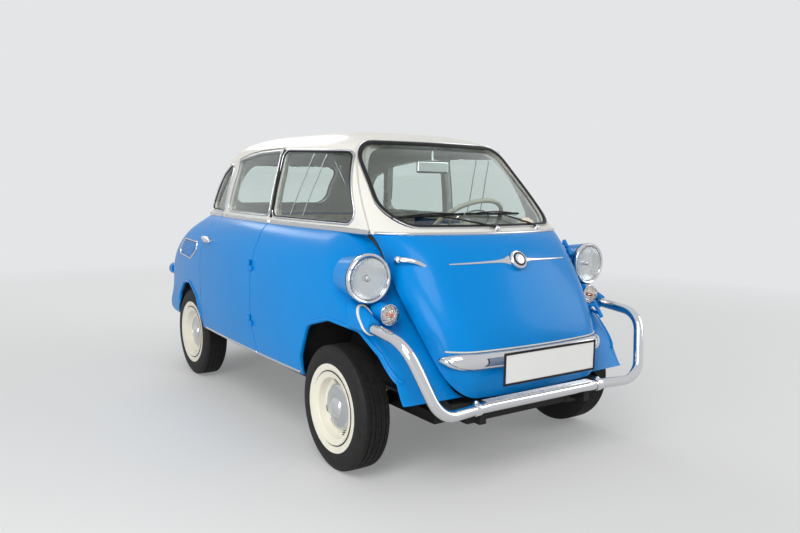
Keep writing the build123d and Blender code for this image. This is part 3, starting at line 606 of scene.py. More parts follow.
def flare(name, outline, feet, nodes, side):
    """Rolled lip beside an arch, from one of its feet over to the other."""
    middle, front_foot, rear_foot = feet
    edge = rounded(offset_outline(outline, FLARE_OUT), ARCH_CORNER + FLARE_OUT, 0.015)
    start = min(range(len(edge)), key=lambda i: edge[i].y)
    edge = [p for p in edge[start:] + edge[:start] if p.y > (front_foot if p.x < middle else rear_foot)]
    strip(name, "car", skin(*nodes), side_rays(edge, side, FLARE_REACH), FLARE, BLUE)


for side, hand in HANDS.items():
    flare(f"front_flare_{hand}", FRONT_ARCH, FRONT_FEET, (f"side_{hand}",), side)
    carriers = ("rear_body", "side_left") if side > 0 else ("rear_body",)
    flare(f"rear_flare_{hand}", REAR_ARCH, REAR_FEET, carriers, side)

# ---- air intakes behind the side windows
INTAKE = [(0.642, 0.785), (0.900, 0.786), (0.969, 0.723), (0.959, 0.695), (0.726, 0.688), (0.634, 0.744)]
SLATS, SLAT_LOW, SLAT_PITCH = 6, 0.700, 0.0145
SLAT_ENDS = (0.712, 0.955)             # y of a slat's ends at the foot of the opening
OPENING_FOOT, OPENING_HIGH = 0.688, 0.098
OPENING_LEAN = 0.060                   # how far forward its head is of its foot


def intake(side, hand):
    """Bright frame, shaded back and slats."""
    tree = skin("rear_body", "side_left") if side > 0 else skin("rear_body")
    edge = looped(tree, side_rays(rounded(INTAKE, 0.014, 0.012), side))
    piece(swept(bead_section(0.008, 0.006), frames_on(edge, True), True), f"intake_frame_{hand}", "car",
          CHROME)
    back = bmesh.new()
    rim = [back.verts.new(spot + normal * 0.0012) for spot, normal in edge]
    back.faces.new(rim)
    bmesh.ops.triangulate(back, faces=back.faces)
    bmesh.ops.solidify(back, geom=back.faces[:], thickness=0.001)
    piece(back, f"intake_back_{hand}", "car", SHADED_BLUE)
    for count in range(SLATS):
        z = SLAT_LOW + count * SLAT_PITCH
        share = (z - OPENING_FOOT) / OPENING_HIGH
        start, end = ((y - OPENING_LEAN * share, z) for y in SLAT_ENDS)
        strip(f"intake_slat_{hand}_{count}", "car", tree, side_rays(between(start, end, 12), side),
              bead_section(0.0075, 0.0035), BLUE, lift=0.0015)


for side, hand in HANDS.items():
    intake(side, hand)

# ---- wheels
WHEELS = {
    "front_left": ("wheel_fl", 1), "front_right": ("wheel_fr", -1),
    "rear_left": ("wheel_rl", 1), "rear_right": ("wheel_rr", -1),
}
TREAD_STEPS = 176
BLOCK_HIGH, SIPE = 0.0040, 0.0011
BLOCK_FROM, BLOCK_WIDE = 0.2436, 0.005  # blocks stand on faces beyond this radius and wider than this
# from the inner bead round the sidewall to the middle of the tread, which stays at the depth of its grooves
TYRE_HALF = [
    (0.128, 0.046), (0.140, 0.052), (0.150, 0.060), (0.168, 0.0625), (0.186, 0.0655), (0.200, 0.0658),
    (0.222, 0.0625), (0.234, 0.0585), (0.240, 0.0545), (0.2435, 0.0495),
    (0.2445, 0.0340), (0.2445, 0.0310), (0.2447, 0.0135), (0.2447, 0.0105), (0.2448, 0.0),
]
WHITE_BAND = [
    (0.1485, 0.0585), (0.1515, 0.0612), (0.166, 0.0634), (0.1750, 0.0648), (0.1765, 0.0636), (0.166, 0.0620),
    (0.1515, 0.0595),
]


def wheel_place(corner):
    """Hub frame of a wheel with Z pointing outboard, read from its tyre's box."""
    low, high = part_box(f"tyre_{corner}")
    side = WHEELS[corner][1]
    return axes(REARWARD, UP * side, LEFT * side, (low + high) / 2)


def tyre(corner):
    """Tyre with raised tread blocks, and its white band."""
    body = WHEELS[corner][0]
    profile = TYRE_HALF + [(r, -d) for r, d in reversed(TYRE_HALF[:-1])]
    bm = lathe(profile, Matrix.Identity(4), TREAD_STEPS)
    blocks = []
    for face in bm.faces:
        spot = face.calc_center_median()
        wide = max(v.co.z for v in face.verts) - min(v.co.z for v in face.verts)
        if math.hypot(spot.x, spot.y) > BLOCK_FROM and wide > BLOCK_WIDE:
            blocks.append(face)
    bmesh.ops.inset_individual(bm, faces=blocks, thickness=SIPE, depth=BLOCK_HIGH)
    bmesh.ops.transform(bm, matrix=wheel_place(corner), verts=bm.verts)
    piece(bm, f"tyre_tread_{corner}", body, TYRE, 30, (f"tyre_{corner}",))
    turned(f"whitewall_{corner}", WHITE_BAND, wheel_place(corner), body, WHITEWALL, 96)


RIM_FACE = [
    (0.0205, -0.006), (0.092, -0.002), (0.102, -0.012), (0.112, -0.048), (0.116, -0.057), (0.144, -0.064),
    (0.146, -0.062), (0.138, -0.056), (0.1275, -0.049), (0.1275, 0.049), (0.138, 0.056), (0.1455, 0.0625),
    (0.144, 0.0645), (0.136, 0.0600), (0.124, 0.0570), (0.120, 0.0530), (0.1165, 0.0300), (0.113, 0.0235),
    (0.104, 0.0200), (0.0960, 0.0170), (0.060, 0.012), (0.0205, 0.012),
]
CAP_SHOULDER = [
    (0.0955, 0.0180), (0.0965, 0.0215), (0.0930, 0.0270), (0.0870, 0.0330), (0.0830, 0.0345),
    (0.0800, 0.0335), (0.0790, 0.0320), (0.0930, 0.0175),
]
CAP_DISC = [
    (0.0795, 0.0332), (0.0560, 0.0368), (0.0440, 0.0375), (0.0410, 0.0380), (0.0410, 0.0340),
    (0.0795, 0.0310),
]
CAP_DOME = [
    (0.0415, 0.0375), (0.0405, 0.0405), (0.0340, 0.0470), (0.0240, 0.0515), (0.0120, 0.0535), (0.0, 0.0540),
    (0.0, 0.0340), (0.0415, 0.0340),
]
SLOT_PAIRS = 4                          # pairs of slots round the wheel, outside its cap
SLOT_SIZE, SLOT_TURN = (0.0042, 0.026, 0.0030), 0.2     # the turn is a share of the pitch between pairs
SLOT_ROWS = ((0.1020, 0.0200), (0.1090, 0.0228))    # radius and height of each pair's two slots


def rim(corner):
    """Pressed wheel, chromed cap and, between them, the pairs of slots, drawn as black slabs that are painted
    shade.
    """
    body = WHEELS[corner][0]
    place = wheel_place(corner)
    turned(f"rim_face_{corner}", RIM_FACE, place, body, CREAM, sharp=30, stands_for=(f"rim_{corner}",))
    bright = joined(lathe(CAP_SHOULDER, place), lathe(CAP_DOME, place))
    piece(bright, f"hub_cap_{corner}", body, CHROME, 30)
    turned(f"hub_cap_disc_{corner}", CAP_DISC, place, body, ALUMINIUM, sharp=30)
    # the slots are not cut through: black slabs on the face give their dark, which is painted shade
    slots = []
    for k in range(SLOT_PAIRS):
        turn = Matrix.Rotation(math.tau * (k + SLOT_TURN) / SLOT_PAIRS, 4, "Z")
        for radius, height in SLOT_ROWS:
            slots.append(slab(SLOT_SIZE, place @ turn @ Matrix.Translation((radius, 0, height)), 0.0008))
    piece(joined(*slots), f"rim_slot_shades_{corner}", body, BLACK_RUBBER_AND_SHADE)


for corner in WHEELS:
    tyre(corner)
    rim(corner)

# ---- lamps
HEADLAMP_AT = Vector((0.604, -1.060, 0.777))
TURN_AT = Vector((0.550, -1.122, 0.645))
TAIL_AT = Vector((0.560, 1.352, 0.560))


def at_side(spot, side):
    """A place on the car's left, or its mirror image on the right."""
    return Vector((spot.x * side, spot.y, spot.z))


def arc_profile(radius, low, high, steps=12):
    """Half a dome's outline, from its rim in to its top."""
    turns = [math.pi / 2 * k / steps for k in range(steps + 1)]
    return [(radius * math.cos(t), low + (high - low) * math.sin(t)) for t in turns]


def shelled(outer, wall):
    """A dome's outline and back along the same dome moved in by a wall."""
    inner = [(max(r - wall, 0.0), d - wall) for r, d in reversed(outer)]
    return outer + inner


def headlamp(side, hand):
    """Rubber ring, made deep so that it also gives the dark band behind the bezel as painted shade, chromed
    bezel, silvered bowl, bulb shield and fluted glass.
    """
    place = facing(-REARWARD, at_side(HEADLAMP_AT, side))
    # the black ring is part gasket and part painted shade: deep enough to show as the shaded band round the
    # pod's rim
    gasket = [(0.0880, -0.0138), (0.0935, -0.0138), (0.0938, -0.0070), (0.0880, -0.0070)]
    turned(f"headlamp_gasket_and_shade_{hand}", gasket, place, "car", BLACK_RUBBER_AND_SHADE, 72)
    bezel = [(0.0900, -0.0065), (0.0950, -0.0060), (0.0950, 0.0040), (0.0935, 0.0090), (0.0895, 0.0118),
             (0.0840, 0.0100), (0.0808, 0.0058), (0.0808, 0.0010), (0.0860, -0.0040)]
    turned(f"headlamp_bezel_{hand}", bezel, place, "car", CHROME, 72, 50)
    bowl = [(0.0830 * math.sin(t), -0.0135 + 0.0150 * (1 - math.cos(t)))
            for t in [math.pi / 2 * k / 10 for k in range(11)]]
    back = [(r, d - 0.0003) for r, d in reversed(bowl)]
    turned(f"headlamp_bowl_{hand}", bowl + back, place, "car", REFLECTOR, 72, 60)
    shield = [(0.0, -0.0125), (0.0125, -0.0125), (0.0125, -0.0040), (0.0090, 0.0005), (0.0, 0.0020)]
    turned(f"headlamp_shield_{hand}", shield, place, "car", CHROME, 32)
    glass = shelled(arc_profile(0.0815, 0.0050, 0.0235), 0.0025)
    turned(f"headlamp_glass_{hand}", glass, place, "car", LENS, 96, 40, ("headlamps",) if side > 0 else ())


TURN_FLUTES, FLUTE_DEPTH = 14, 0.09     # flutes round the dome, and their depth as a share of its radius


def turn_lamp(side, hand):
    """Bright base ring, amber bulb and a fluted clear dome."""
    place = facing(-REARWARD, at_side(TURN_AT, side))
    ring = [(0.0340, -0.001), (0.0405, -0.001), (0.0405, 0.0035), (0.0385, 0.0052), (0.0340, 0.0045)]
    turned(f"turn_ring_{hand}", ring, place, "car", CHROME, 48)
    bulb = [(0.0, 0.0), (0.006, 0.0), (0.0090, 0.008), (0.0085, 0.014), (0.0050, 0.0190), (0.0, 0.0205)]
    turned(f"turn_bulb_{hand}", bulb, place, "car", AMBER, 32, 60)
    plate = [(0.0, 0.0004), (0.0340, 0.0004), (0.0340, 0.0024), (0.0, 0.0024)]
    turned(f"turn_plate_{hand}", plate, place, "car", REFLECTOR, 48)
    outer = [(0.0370, 0.0020), (0.0372, 0.0080), (0.0335, 0.0200), (0.0255, 0.0315), (0.0135, 0.0400),
             (0.0, 0.0435)]
    bm = lathe(shelled(outer, 0.0028), Matrix.Identity(4), TURN_FLUTES * 8)
    for vert in bm.verts:
        reach = math.hypot(vert.co.x, vert.co.y)
        ripple = 1.0 - FLUTE_DEPTH * abs(math.sin(TURN_FLUTES / 2 * math.atan2(vert.co.y, vert.co.x)))
        if reach > 0.004:
            vert.co.xy *= ripple
    bmesh.ops.transform(bm, matrix=place, verts=bm.verts)
    piece(bm, f"turn_lens_{hand}", "car", CLEAR_LENS, 60, ("turn_lamps",) if side > 0 else ())


def tail_lamp(side, hand):
    """Body, bright ring and domed red lens, facing rearwards."""
    place = facing(REARWARD, at_side(TAIL_AT, side))
    body = [(0.0, -0.045), (0.0335, -0.045), (0.0338, 0.004), (0.0, 0.004)]
    turned(f"tail_body_{hand}", body, place, "car", BLUE, 48, 35, ("tail_lamps",) if side > 0 else ())
    ring = [(0.0290, 0.002), (0.0350, 0.002), (0.0350, 0.0070), (0.0325, 0.0095), (0.0290, 0.0080)]
    turned(f"tail_ring_{hand}", ring, place, "car", CHROME, 48)
    disc = [(0.0, 0.0042), (0.0290, 0.0042), (0.0290, 0.0056), (0.0, 0.0056)]
    turned(f"tail_reflector_{hand}", disc, place, "car", REFLECTOR, 48)
    lens = shelled(arc_profile(0.0292, 0.0070, 0.0235), 0.0022)
    turned(f"tail_lens_{hand}", lens, place, "car", RED, 64, 50)


for side, hand in HANDS.items():
    headlamp(side, hand)
    turn_lamp(side, hand)
    tail_lamp(side, hand)

# ---- nose emblem and its wings
EMBLEM_AT = Vector((0.0, -1.222, 0.836))
EMBLEM_WAY = Vector((0, -math.cos(math.radians(32)), math.sin(math.radians(32))))
nose = skin("front_door_lower")


def emblem():
    """Plain round badge: chromed cup, black ring and a blank domed centre."""
    place = facing(EMBLEM_WAY, EMBLEM_AT)
    cup = [(0.0, -0.0110), (0.0400, -0.0110), (0.0410, 0.0020), (0.0385, 0.0090), (0.0345, 0.0118),
           (0.0310, 0.0105), (0.0, 0.0100)]
    turned("emblem_cup", cup, place, "front_door", CHROME, 72, 40, ("emblem",))
    face = [(0.0, 0.0101), (0.0310, 0.0101), (0.0305, 0.0112), (0.0225, 0.0120), (0.0, 0.0120)]
    turned("emblem_face", face, place, "front_door", DIAL, 64)
    centre = [(0.0, 0.0110), (0.0215, 0.0110), (0.0215, 0.0124), (0.0120, 0.0136), (0.0, 0.0141)]
    turned("emblem_centre", centre, place, "front_door", ALUMINIUM, 64)


def wing_size(t):
    """Wide beside the badge, then a thin bar that draws to a point."""
    swell = math.exp(-t / 0.09)
    return (0.85 - 0.35 * t) + 2.4 * swell, 0.80 + 1.2 * swell


emblem()
WING_ROOT, WING_TIP = (0.036, 0.834), (0.310, 0.826)       # (x, z)
for side, hand in HANDS.items():
    line = between((side * WING_ROOT[0], WING_ROOT[1]), (side * WING_TIP[0], WING_TIP[1]), 41)
    strip(f"emblem_wing_{hand}", "front_door", nose, end_rays(line, -1), bead_section(0.014, 0.006), CHROME,
          wing_size)

# ---- blade, plate and handle of the front door
BLADE_Z = 0.483
BLADE_HALF = 0.420


def blade_size(t):
    """Full height across the middle, drawn in to round spoon ends."""
    end = min(t, 1 - t) / 0.09
    grow = math.sqrt(max(1 - (1 - min(end, 1.0)) ** 2, 0.0))
    return 0.18 + 0.82 * grow, 0.30 + 0.70 * grow


BLADE = [(-0.031, 0.0005), (-0.031, 0.006), (-0.027, 0.0130), (-0.018, 0.0200), (-0.006, 0.0232),
         (0.008, 0.0232), (0.020, 0.0195), (0.028, 0.0115), (0.031, 0.0045), (0.031, 0.0005)]
blade_run = laid(nose, end_rays(between((-BLADE_HALF, BLADE_Z), (BLADE_HALF, BLADE_Z), 91), -1))[0]
piece(swept(BLADE, tapered(frames_on(blade_run), blade_size)), "door_blade", "front_door", CHROME, 45,
      ("front_blade",))
BLADE_LINE_HALF, BLADE_LINE_Z = 0.404, 0.5185
blade_line = between((-BLADE_LINE_HALF, BLADE_LINE_Z), (BLADE_LINE_HALF, BLADE_LINE_Z), 60)
strip("blade_gasket", "front_door", nose, end_rays(blade_line, -1), bead_section(0.006, 0.004), GASKET)

PLATE_SIZE = Vector((0.482, 0.113))
PLATE_AT = Vector((0.0, -1.4262, 0.4615))
FRAME_OUT, FRAME_WIDE, FRAME_THICK = 0.010, 0.0085, 0.004


def plate_frame(name, place, body, width, height):
    """Black pressed frame round a blank plate."""
    bm = bmesh.new()
    bmesh.ops.create_grid(bm, x_segments=1, y_segments=1, size=0.5,
                          matrix=Matrix.Diagonal((width + FRAME_OUT, height + FRAME_OUT, 1.0, 1.0)))
    border = bmesh.ops.inset_region(bm, faces=bm.faces[:], thickness=FRAME_WIDE, depth=0.0, use_boundary=True,
                                    use_even_offset=True)["faces"]
    middle = [f for f in bm.faces if f not in border]
    bmesh.ops.delete(bm, geom=middle, context="FACES")
    bmesh.ops.solidify(bm, geom=bm.faces[:], thickness=FRAME_THICK)
    bmesh.ops.transform(bm, matrix=place, verts=bm.verts)
    piece(bm, name, body, BLACK_RUBBER_AND_SHADE, 30)


plate_frame("front_plate_frame", facing(-REARWARD, PLATE_AT + Vector((0, -0.0012, 0))), "front_door",
            PLATE_SIZE.x, PLATE_SIZE.y)


def bezier(a, b, c, count):
    """Points on a curve from a to c drawn towards b."""
    points = []
    for t in [i / (count - 1) for i in range(count)]:
        points.append(Vector(a).lerp(Vector(b), t).lerp(Vector(b).lerp(Vector(c), t), t))
    return points


def lever_size(t):
    """Round end, full width near the boss, then a slow taper to a round tip."""
    end = min(t / 0.06, (1 - t) / 0.05, 1.0)
    grow = math.sqrt(max(1 - (1 - end) ** 2, 0.02))
    return grow * (1.35 - 0.55 * t), grow * (0.85 - 0.25 * t)


def lever(name, body, points, out, radius, stands_for):
    """Solid bar of a handle along a curve, with rounded ends from its taper."""
    frames = tapered(frames_on([(p, out.normalized()) for p in points]), lever_size)
    piece(swept(round_section(radius, 16), frames), name, body, CHROME, 60, stands_for)


DOOR_HANDLE_AT = Vector((-0.463, -1.046, 0.839))
DOOR_HANDLE_OUT = Vector((-0.42, -0.83, 0.36))
DOOR_LEVER = bezier((-0.470, -1.060, 0.842), (-0.425, -1.118, 0.846), (-0.389, -1.130, 0.815), 22)
door_boss = [(0.0, -0.040), (0.0150, -0.040), (0.0165, -0.004), (0.0160, 0.006), (0.0125, 0.012),
             (0.0070, 0.0155), (0.0, 0.0165)]
turned("front_handle_boss", door_boss, facing(DOOR_HANDLE_OUT, DOOR_HANDLE_AT), "front_door", CHROME, 40, 40)
lever("front_handle_lever", "front_door", DOOR_LEVER, DOOR_HANDLE_OUT, 0.0085, ("front_door_handle",))

SIDE_HANDLE_AT = Vector((-0.672, 0.470, 0.812))
SIDE_HANDLE_OUT = Vector((-0.95, 0.0, 0.30))
SIDE_LEVER = bezier((-0.680, 0.505, 0.822), (-0.694, 0.440, 0.826), (-0.688, 0.372, 0.808), 22)
side_boss = [(0.0, -0.030), (0.0160, -0.030), (0.0160, 0.006), (0.0110, 0.0130), (0.0, 0.0150)]
turned("side_handle_boss", side_boss, facing(SIDE_HANDLE_OUT, SIDE_HANDLE_AT), "side_door", CHROME, 40, 40)
lever("side_handle_lever", "side_door", SIDE_LEVER, SIDE_HANDLE_OUT, 0.0080, ("side_door_handle",))

# ---- windscreen wipers
screen_skin = skin("front_door_upper", "windscreen")
# pivot, the blade's ends, each as (x, z)
WIPERS = (
    ((0.002, 0.950), (-0.425, 0.992), (-0.110, 1.008)),
    ((0.262, 0.948), (-0.098, 1.008), (0.210, 1.006)),
)
WIPER_RUBBER = [(-0.0035, 0.002), (-0.0045, 0.007), (-0.002, 0.010), (0.002, 0.010), (0.0045, 0.007),
                (0.0035, 0.002)]
PIVOT_CAP = [(0.0, -0.004), (0.0130, -0.004), (0.0130, 0.006), (0.0105, 0.013), (0.0055, 0.017), (0.0, 0.018)]
ARM_LIFT, ARM_ARCH = 0.010, 0.006      # off the glass at the ends and more in the middle
BOW_LIFT, BOW_ARCH = 0.010, 0.008
BOW_FROM, BOW_TO = 0.16, 0.84          # where the bow holds the blade, as shares of its length


def arched(run, lift, arch, last):
    """A run lifted off its skin, and more in its middle."""
    return [(spot + normal * (lift + arch * math.sin(math.pi * i / last)), normal)
            for i, (spot, normal) in enumerate(run)]


def wiper(name, pivot, start, end, stands_for=()):
    """Pivot cap, sprung arm and rubber blade with its bow."""
    start, end = Vector(start), Vector(end)
    run = sum(laid(screen_skin, end_rays(between(pivot, start.lerp(end, 0.5), 24), -1)), [])
    frames = tapered(frames_on(arched(run, ARM_LIFT, ARM_ARCH, len(run))),
                     lambda t: (1.5 - 0.9 * t, 1.2 - 0.5 * t))
    piece(swept(round_section(0.0038, 10), frames), f"{name}_arm", "front_door", BLACK_RUBBER_AND_SHADE, 40, stands_for)
    strip(f"{name}_blade", "front_door", screen_skin, end_rays(between(start, end, 30), -1), WIPER_RUBBER,
          BLACK_RUBBER_AND_SHADE)
    held = between(start.lerp(end, BOW_FROM), start.lerp(end, BOW_TO), 20)
    bow = laid(screen_skin, end_rays(held, -1))[0]
    piece(swept(round_section(0.0028, 8), frames_on(arched(bow, BOW_LIFT, BOW_ARCH, len(bow) - 1))),
          f"{name}_bow", "front_door", BLACK_RUBBER_AND_SHADE)
    spot, normal = run[0]
    turned(f"{name}_pivot", PIVOT_CAP, facing(normal, spot), "front_door", CHROME, 32, 40)


wiper("wiper_right", *WIPERS[0], ("wipers",))
wiper("wiper_left", *WIPERS[1])

# ---- front bumper fittings
BUMPER_Y, BUMPER_Z, TUBE = -1.368, 0.313, 0.021
STEP_HALF = 0.285
step_path = [(Vector((x, BUMPER_Y, BUMPER_Z + TUBE)), UP) for x in (-STEP_HALF, -0.1, 0.1, STEP_HALF)]
RIBS, RIB_FIRST, RIB_PITCH = 5, -0.017, 0.0072
step_section = [(-0.019, -0.003), (-0.019, 0.0025)]
for k in range(RIBS):
    low = RIB_FIRST + k * RIB_PITCH
    step_section += [(low, 0.0048), (low + 0.0036, 0.0048), (low + 0.0046, 0.0026), (low + 0.0062, 0.0026)]
step_section += [(0.0195, 0.0025), (0.0195, -0.003)]
piece(swept(step_section, frames_on(step_path)), "bumper_step", "car", ALUMINIUM, 25)
CLAMP_X, CLAMP_Y = 0.330, -1.374
CLAMP_UP, BOLT_UP = 0.0015, 0.0275     # above the middle of the tube
CLAMP = [
    (0.0205, -0.016), (0.0245, -0.016), (0.0260, -0.010), (0.0260, 0.010), (0.0245, 0.016), (0.0205, 0.016),
]
BOLT = [(0.0, -0.004), (0.0095, -0.004), (0.0095, 0.002), (0.0060, 0.0065), (0.0, 0.0078)]
for side, hand in HANDS.items():
    clamp_at = facing(LEFT * side, (side * CLAMP_X, CLAMP_Y, BUMPER_Z + CLAMP_UP))
    turned(f"bumper_clamp_{hand}", CLAMP, clamp_at, "car", CHROME, 40)
    bolt_at = facing(UP, (side * CLAMP_X, CLAMP_Y, BUMPER_Z + BOLT_UP), LEFT)
    turned(f"bumper_bolt_{hand}", BOLT, bolt_at, "car", CHROME, 24)

# cream gasket round each hoop boss: y, middle z, height and width of the boss's ends, then the ring's slant
BOSS_X = 0.625
BOSS_ENDS = ((-1.000, 0.634, 0.124, 0.070), (-1.132, 0.607, 0.056, 0.052))
GASKET_HEAD, GASKET_FOOT = (-1.042, 0.676), (-1.114, 0.587)


def boss_point(turn, side):
    """Point and outward direction on the boss at an angle, in the gasket's slanting plane.

    The boss tapers, so its height and the plane's y depend on each other and settle in a few turns.
    """
    z = BOSS_ENDS[0][1]
    for _ in range(6):
        share = (GASKET_HEAD[1] - z) / (GASKET_HEAD[1] - GASKET_FOOT[1])
        y = GASKET_HEAD[0] + (GASKET_FOOT[0] - GASKET_HEAD[0]) * share
        t = (y - BOSS_ENDS[0][0]) / (BOSS_ENDS[1][0] - BOSS_ENDS[0][0])
        _, middle, high, wide = (first + (last - first) * t for first, last in zip(*BOSS_ENDS))
        z = middle + wide / 2 * math.sin(turn) + math.copysign((high - wide) / 2, math.sin(turn))
    spot = Vector((side * (BOSS_X + wide / 2 * math.cos(turn)), y, z))
    return spot, Vector((side * math.cos(turn), 0, math.sin(turn)))


for side, hand in HANDS.items():
    ring = [boss_point(math.tau * (k + 0.5) / 48, side) for k in range(48)]
    piece(swept(bead_section(0.012, 0.004), frames_on(ring, True), True), f"boss_gasket_{hand}", "car",
          GASKET)

# small bright catch on the left windscreen pillar
CATCH_YZ = (-0.607, 1.2856)
catch = [(0.0, -0.006), (0.011, -0.006), (0.012, 0.004), (0.008, 0.012), (0.0, 0.014)]
spot, normal = skin_point(skin("roof"), *side_rays([CATCH_YZ], 1)[0])
turned("pillar_catch", catch, facing(normal, spot), "car", CHROME, 28, 40)

# ---- horn button, horn ring and instrument
COLUMN_DIR = Vector((0.0, 0.643, 0.766))
WHEEL_HUB = Vector((0.250, -0.590, 0.936))
HORN_RADIUS, HORN_WIRE, HORN_DROP = 0.118, 0.0042, 0.004
hub = [(0.0, 0.004), (0.0285, 0.004), (0.0300, 0.010), (0.0240, 0.0180), (0.0120, 0.0225), (0.0, 0.0235)]
turned("horn_button", hub, facing(COLUMN_DIR, WHEEL_HUB), "steering", CHROME, 48, 40)
turns = [math.tau * k / 64 for k in range(64)]
ring = [(Vector((math.cos(t), math.sin(t), 0)) * HORN_RADIUS, UP) for t in turns]
bm = swept(round_section(HORN_WIRE, 10), frames_on(ring, True), True)
bmesh.ops.transform(bm, matrix=facing(COLUMN_DIR, WHEEL_HUB - COLUMN_DIR * HORN_DROP, LEFT), verts=bm.verts)
piece(bm, "horn_ring", "steering", CHROME)

DIAL_PLACE = facing(Vector((0, 0.90, 0.43)), Vector((0.250, -0.985, 0.936)))
MARKS, MARK_FIRST, MARK_STEP, MARK_RADIUS = 11, -130, 26, 0.0430      # turns in degrees
NEEDLE_TURN = 2.0


def on_dial(size, turn, radius, height):
    """Small raised bar on the dial, turned about its middle."""
    place = DIAL_PLACE @ Matrix.Rotation(turn, 4, "Z") @ Matrix.Translation((0, radius, height))
    return slab(size, place, 0.0003)


pod = [(0.0, -0.050), (0.042, -0.046), (0.056, -0.030), (0.060, 0.0), (0.060, 0.006), (0.0555, 0.0075),
       (0.0535, 0.002), (0.0, 0.001)]
turned("instrument_pod", pod, DIAL_PLACE, "car", IVORY, 48, 40)
face = [(0.0, 0.0012), (0.0535, 0.0022), (0.0535, 0.0036), (0.0, 0.0030)]
turned("instrument_face", face, DIAL_PLACE, "car", DIAL, 48)
marks = [on_dial((0.0018, 0.0090, 0.0012), math.radians(MARK_FIRST + MARK_STEP * k), MARK_RADIUS, 0.0040)
         for k in range(MARKS)]
needle = on_dial((0.0016, 0.0380, 0.0012), NEEDLE_TURN, 0.0170, 0.0050)
piece(joined(*marks, needle), "instrument_marks", "car", PLATE)

# ---- seats
CLOTH_FRAMES, CLOTH_PRESSURE = 20, 4.0
SEAT_INSET, SEAT_EDGE = 0.012, 0.028   # the start shape inside its CAD solid, and its rounding
SEAT_VOXEL, SWELL_CAP = 0.011, 0.016   # remesh size, and how far a point may move
CHANNELS = 7
CHANNEL_DEPTH, CHANNEL_HALF, CHANNEL_REACH = 0.010, 0.009, 0.05
CUSHION_FACE, BACKREST_FACE = 2, 1     # axis that the sat-on face looks along: up, or towards the front
WELT_BELOW = {CUSHION_FACE: 0.030, BACKREST_FACE: 0.028}
WELT_RADIUS, WELT_CORNER = 0.0048, 0.05


def swollen(thing):
    """Inflates a closed mesh as cloth, keeps each point within the cap, and leaves no simulation on it."""
    start = [vert.co.copy() for vert in thing.data.vertices]
    cloth = thing.modifiers.new("cloth", "CLOTH")
    cloth.settings.use_pressure = True
    cloth.settings.uniform_pressure_force = CLOTH_PRESSURE
    cloth.settings.effector_weights.gravity = 0.0
    cloth.point_cache.frame_start = 1
    cloth.point_cache.frame_end = CLOTH_FRAMES
    for number in range(1, CLOTH_FRAMES + 1):
        bpy.context.scene.frame_set(number)
    result = thing.evaluated_get(bpy.context.evaluated_depsgraph_get()).data
    for vert, old, new in zip(thing.data.vertices, start, [v.co.copy() for v in result.vertices]):
        move = new - old
        vert.co = old + move * min(1.0, SWELL_CAP / max(move.length, 1e-9))
    thing.modifiers.remove(cloth)
    bpy.context.scene.frame_set(1)


def applied(thing):
    """Replaces a mesh by what its modifiers make of it."""
    depsgraph = bpy.context.evaluated_depsgraph_get()
    mesh = bpy.data.meshes.new_from_object(thing.evaluated_get(depsgraph))
    thing.modifiers.clear()
    thing.data = mesh


def channelled(mesh, low, high, face_axis):
    """Keeps a pad's points in its box and draws sewn channels into its face."""
    pitch = (high.x - low.x) / (CHANNELS + 1)
    inward = -1 if face_axis == CUSHION_FACE else 1
    top = high[face_axis] if face_axis == CUSHION_FACE else low[face_axis]
    for vert in mesh.vertices:
        for axis in range(3):
            vert.co[axis] = min(max(vert.co[axis], low[axis]), high[axis])
        near = max(0.0, 1 - abs(vert.co[face_axis] - top) / CHANNEL_REACH)
        gap = min(abs(vert.co.x - (low.x + pitch * (k + 1))) for k in range(CHANNELS))
        vert.co[face_axis] += inward * CHANNEL_DEPTH * near * math.exp(-(gap / CHANNEL_HALF) ** 2)


def pad(node, face_axis):
    """Padded seat part in the space of its CAD solid, with channels on its face and a welt round it."""
    low, high = (Vector(corner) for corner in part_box(node))
    inset = Vector((SEAT_INSET, SEAT_INSET, SEAT_INSET))
    bm = slab(high - low - inset * 2, Matrix.Translation((low + high) / 2), SEAT_EDGE)
    made = placed(f"{node}_pad", mesh_of(bm, f"{node}_pad"))
    remesh = made.modifiers.new("remesh", "REMESH")
    remesh.mode = "VOXEL"
    remesh.voxel_size = SEAT_VOXEL
    applied(made)
    swollen(made)
    subdivide = made.modifiers.new("subdivide", "SUBSURF")
    subdivide.levels = 1
    subdivide.render_levels = 1
    applied(made)
    channelled(made.data, low, high, face_axis)
    made.data.materials.clear()
    made.data.materials.append(WEAVE)
    made.data.shade_smooth()
    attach(made, "car")
    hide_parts(node)
    welt(made, node, low, high, face_axis)


def welt(made, node, low, high, face_axis):
    """Piping laid on the pad round its face."""
    bm = bmesh.new()
    bm.from_mesh(made.data)
    tree = BVHTree.FromBMesh(bm)
    bm.free()
    flat_axis = 1 if face_axis == CUSHION_FACE else 2
    top = high if face_axis == CUSHION_FACE else low
    level = top[face_axis] + (-1 if face_axis == CUSHION_FACE else 1) * WELT_BELOW[face_axis]
    middle, half = (low + high) / 2, (high - low) / 2
    wide, deep = half.x, half[flat_axis]
    path = []
    for p in rounded([(-wide, -deep), (wide, -deep), (wide, deep), (-wide, deep)], WELT_CORNER, 0.02):
        spot = Vector((middle.x + p.x, 0, 0))
        spot[face_axis] = level
        spot[flat_axis] = middle[flat_axis] + p.y
        found, normal, _, _ = tree.find_nearest(spot)
        path.append((found, normal))
    piece(swept(round_section(WELT_RADIUS, 10), frames_on(evened(path, True), True), True), f"{node}_welt",
          "car", WELT)


for seat in ("front", "rear"):
    pad(f"{seat}_cushion", CUSHION_FACE)
    pad(f"{seat}_backrest", BACKREST_FACE)

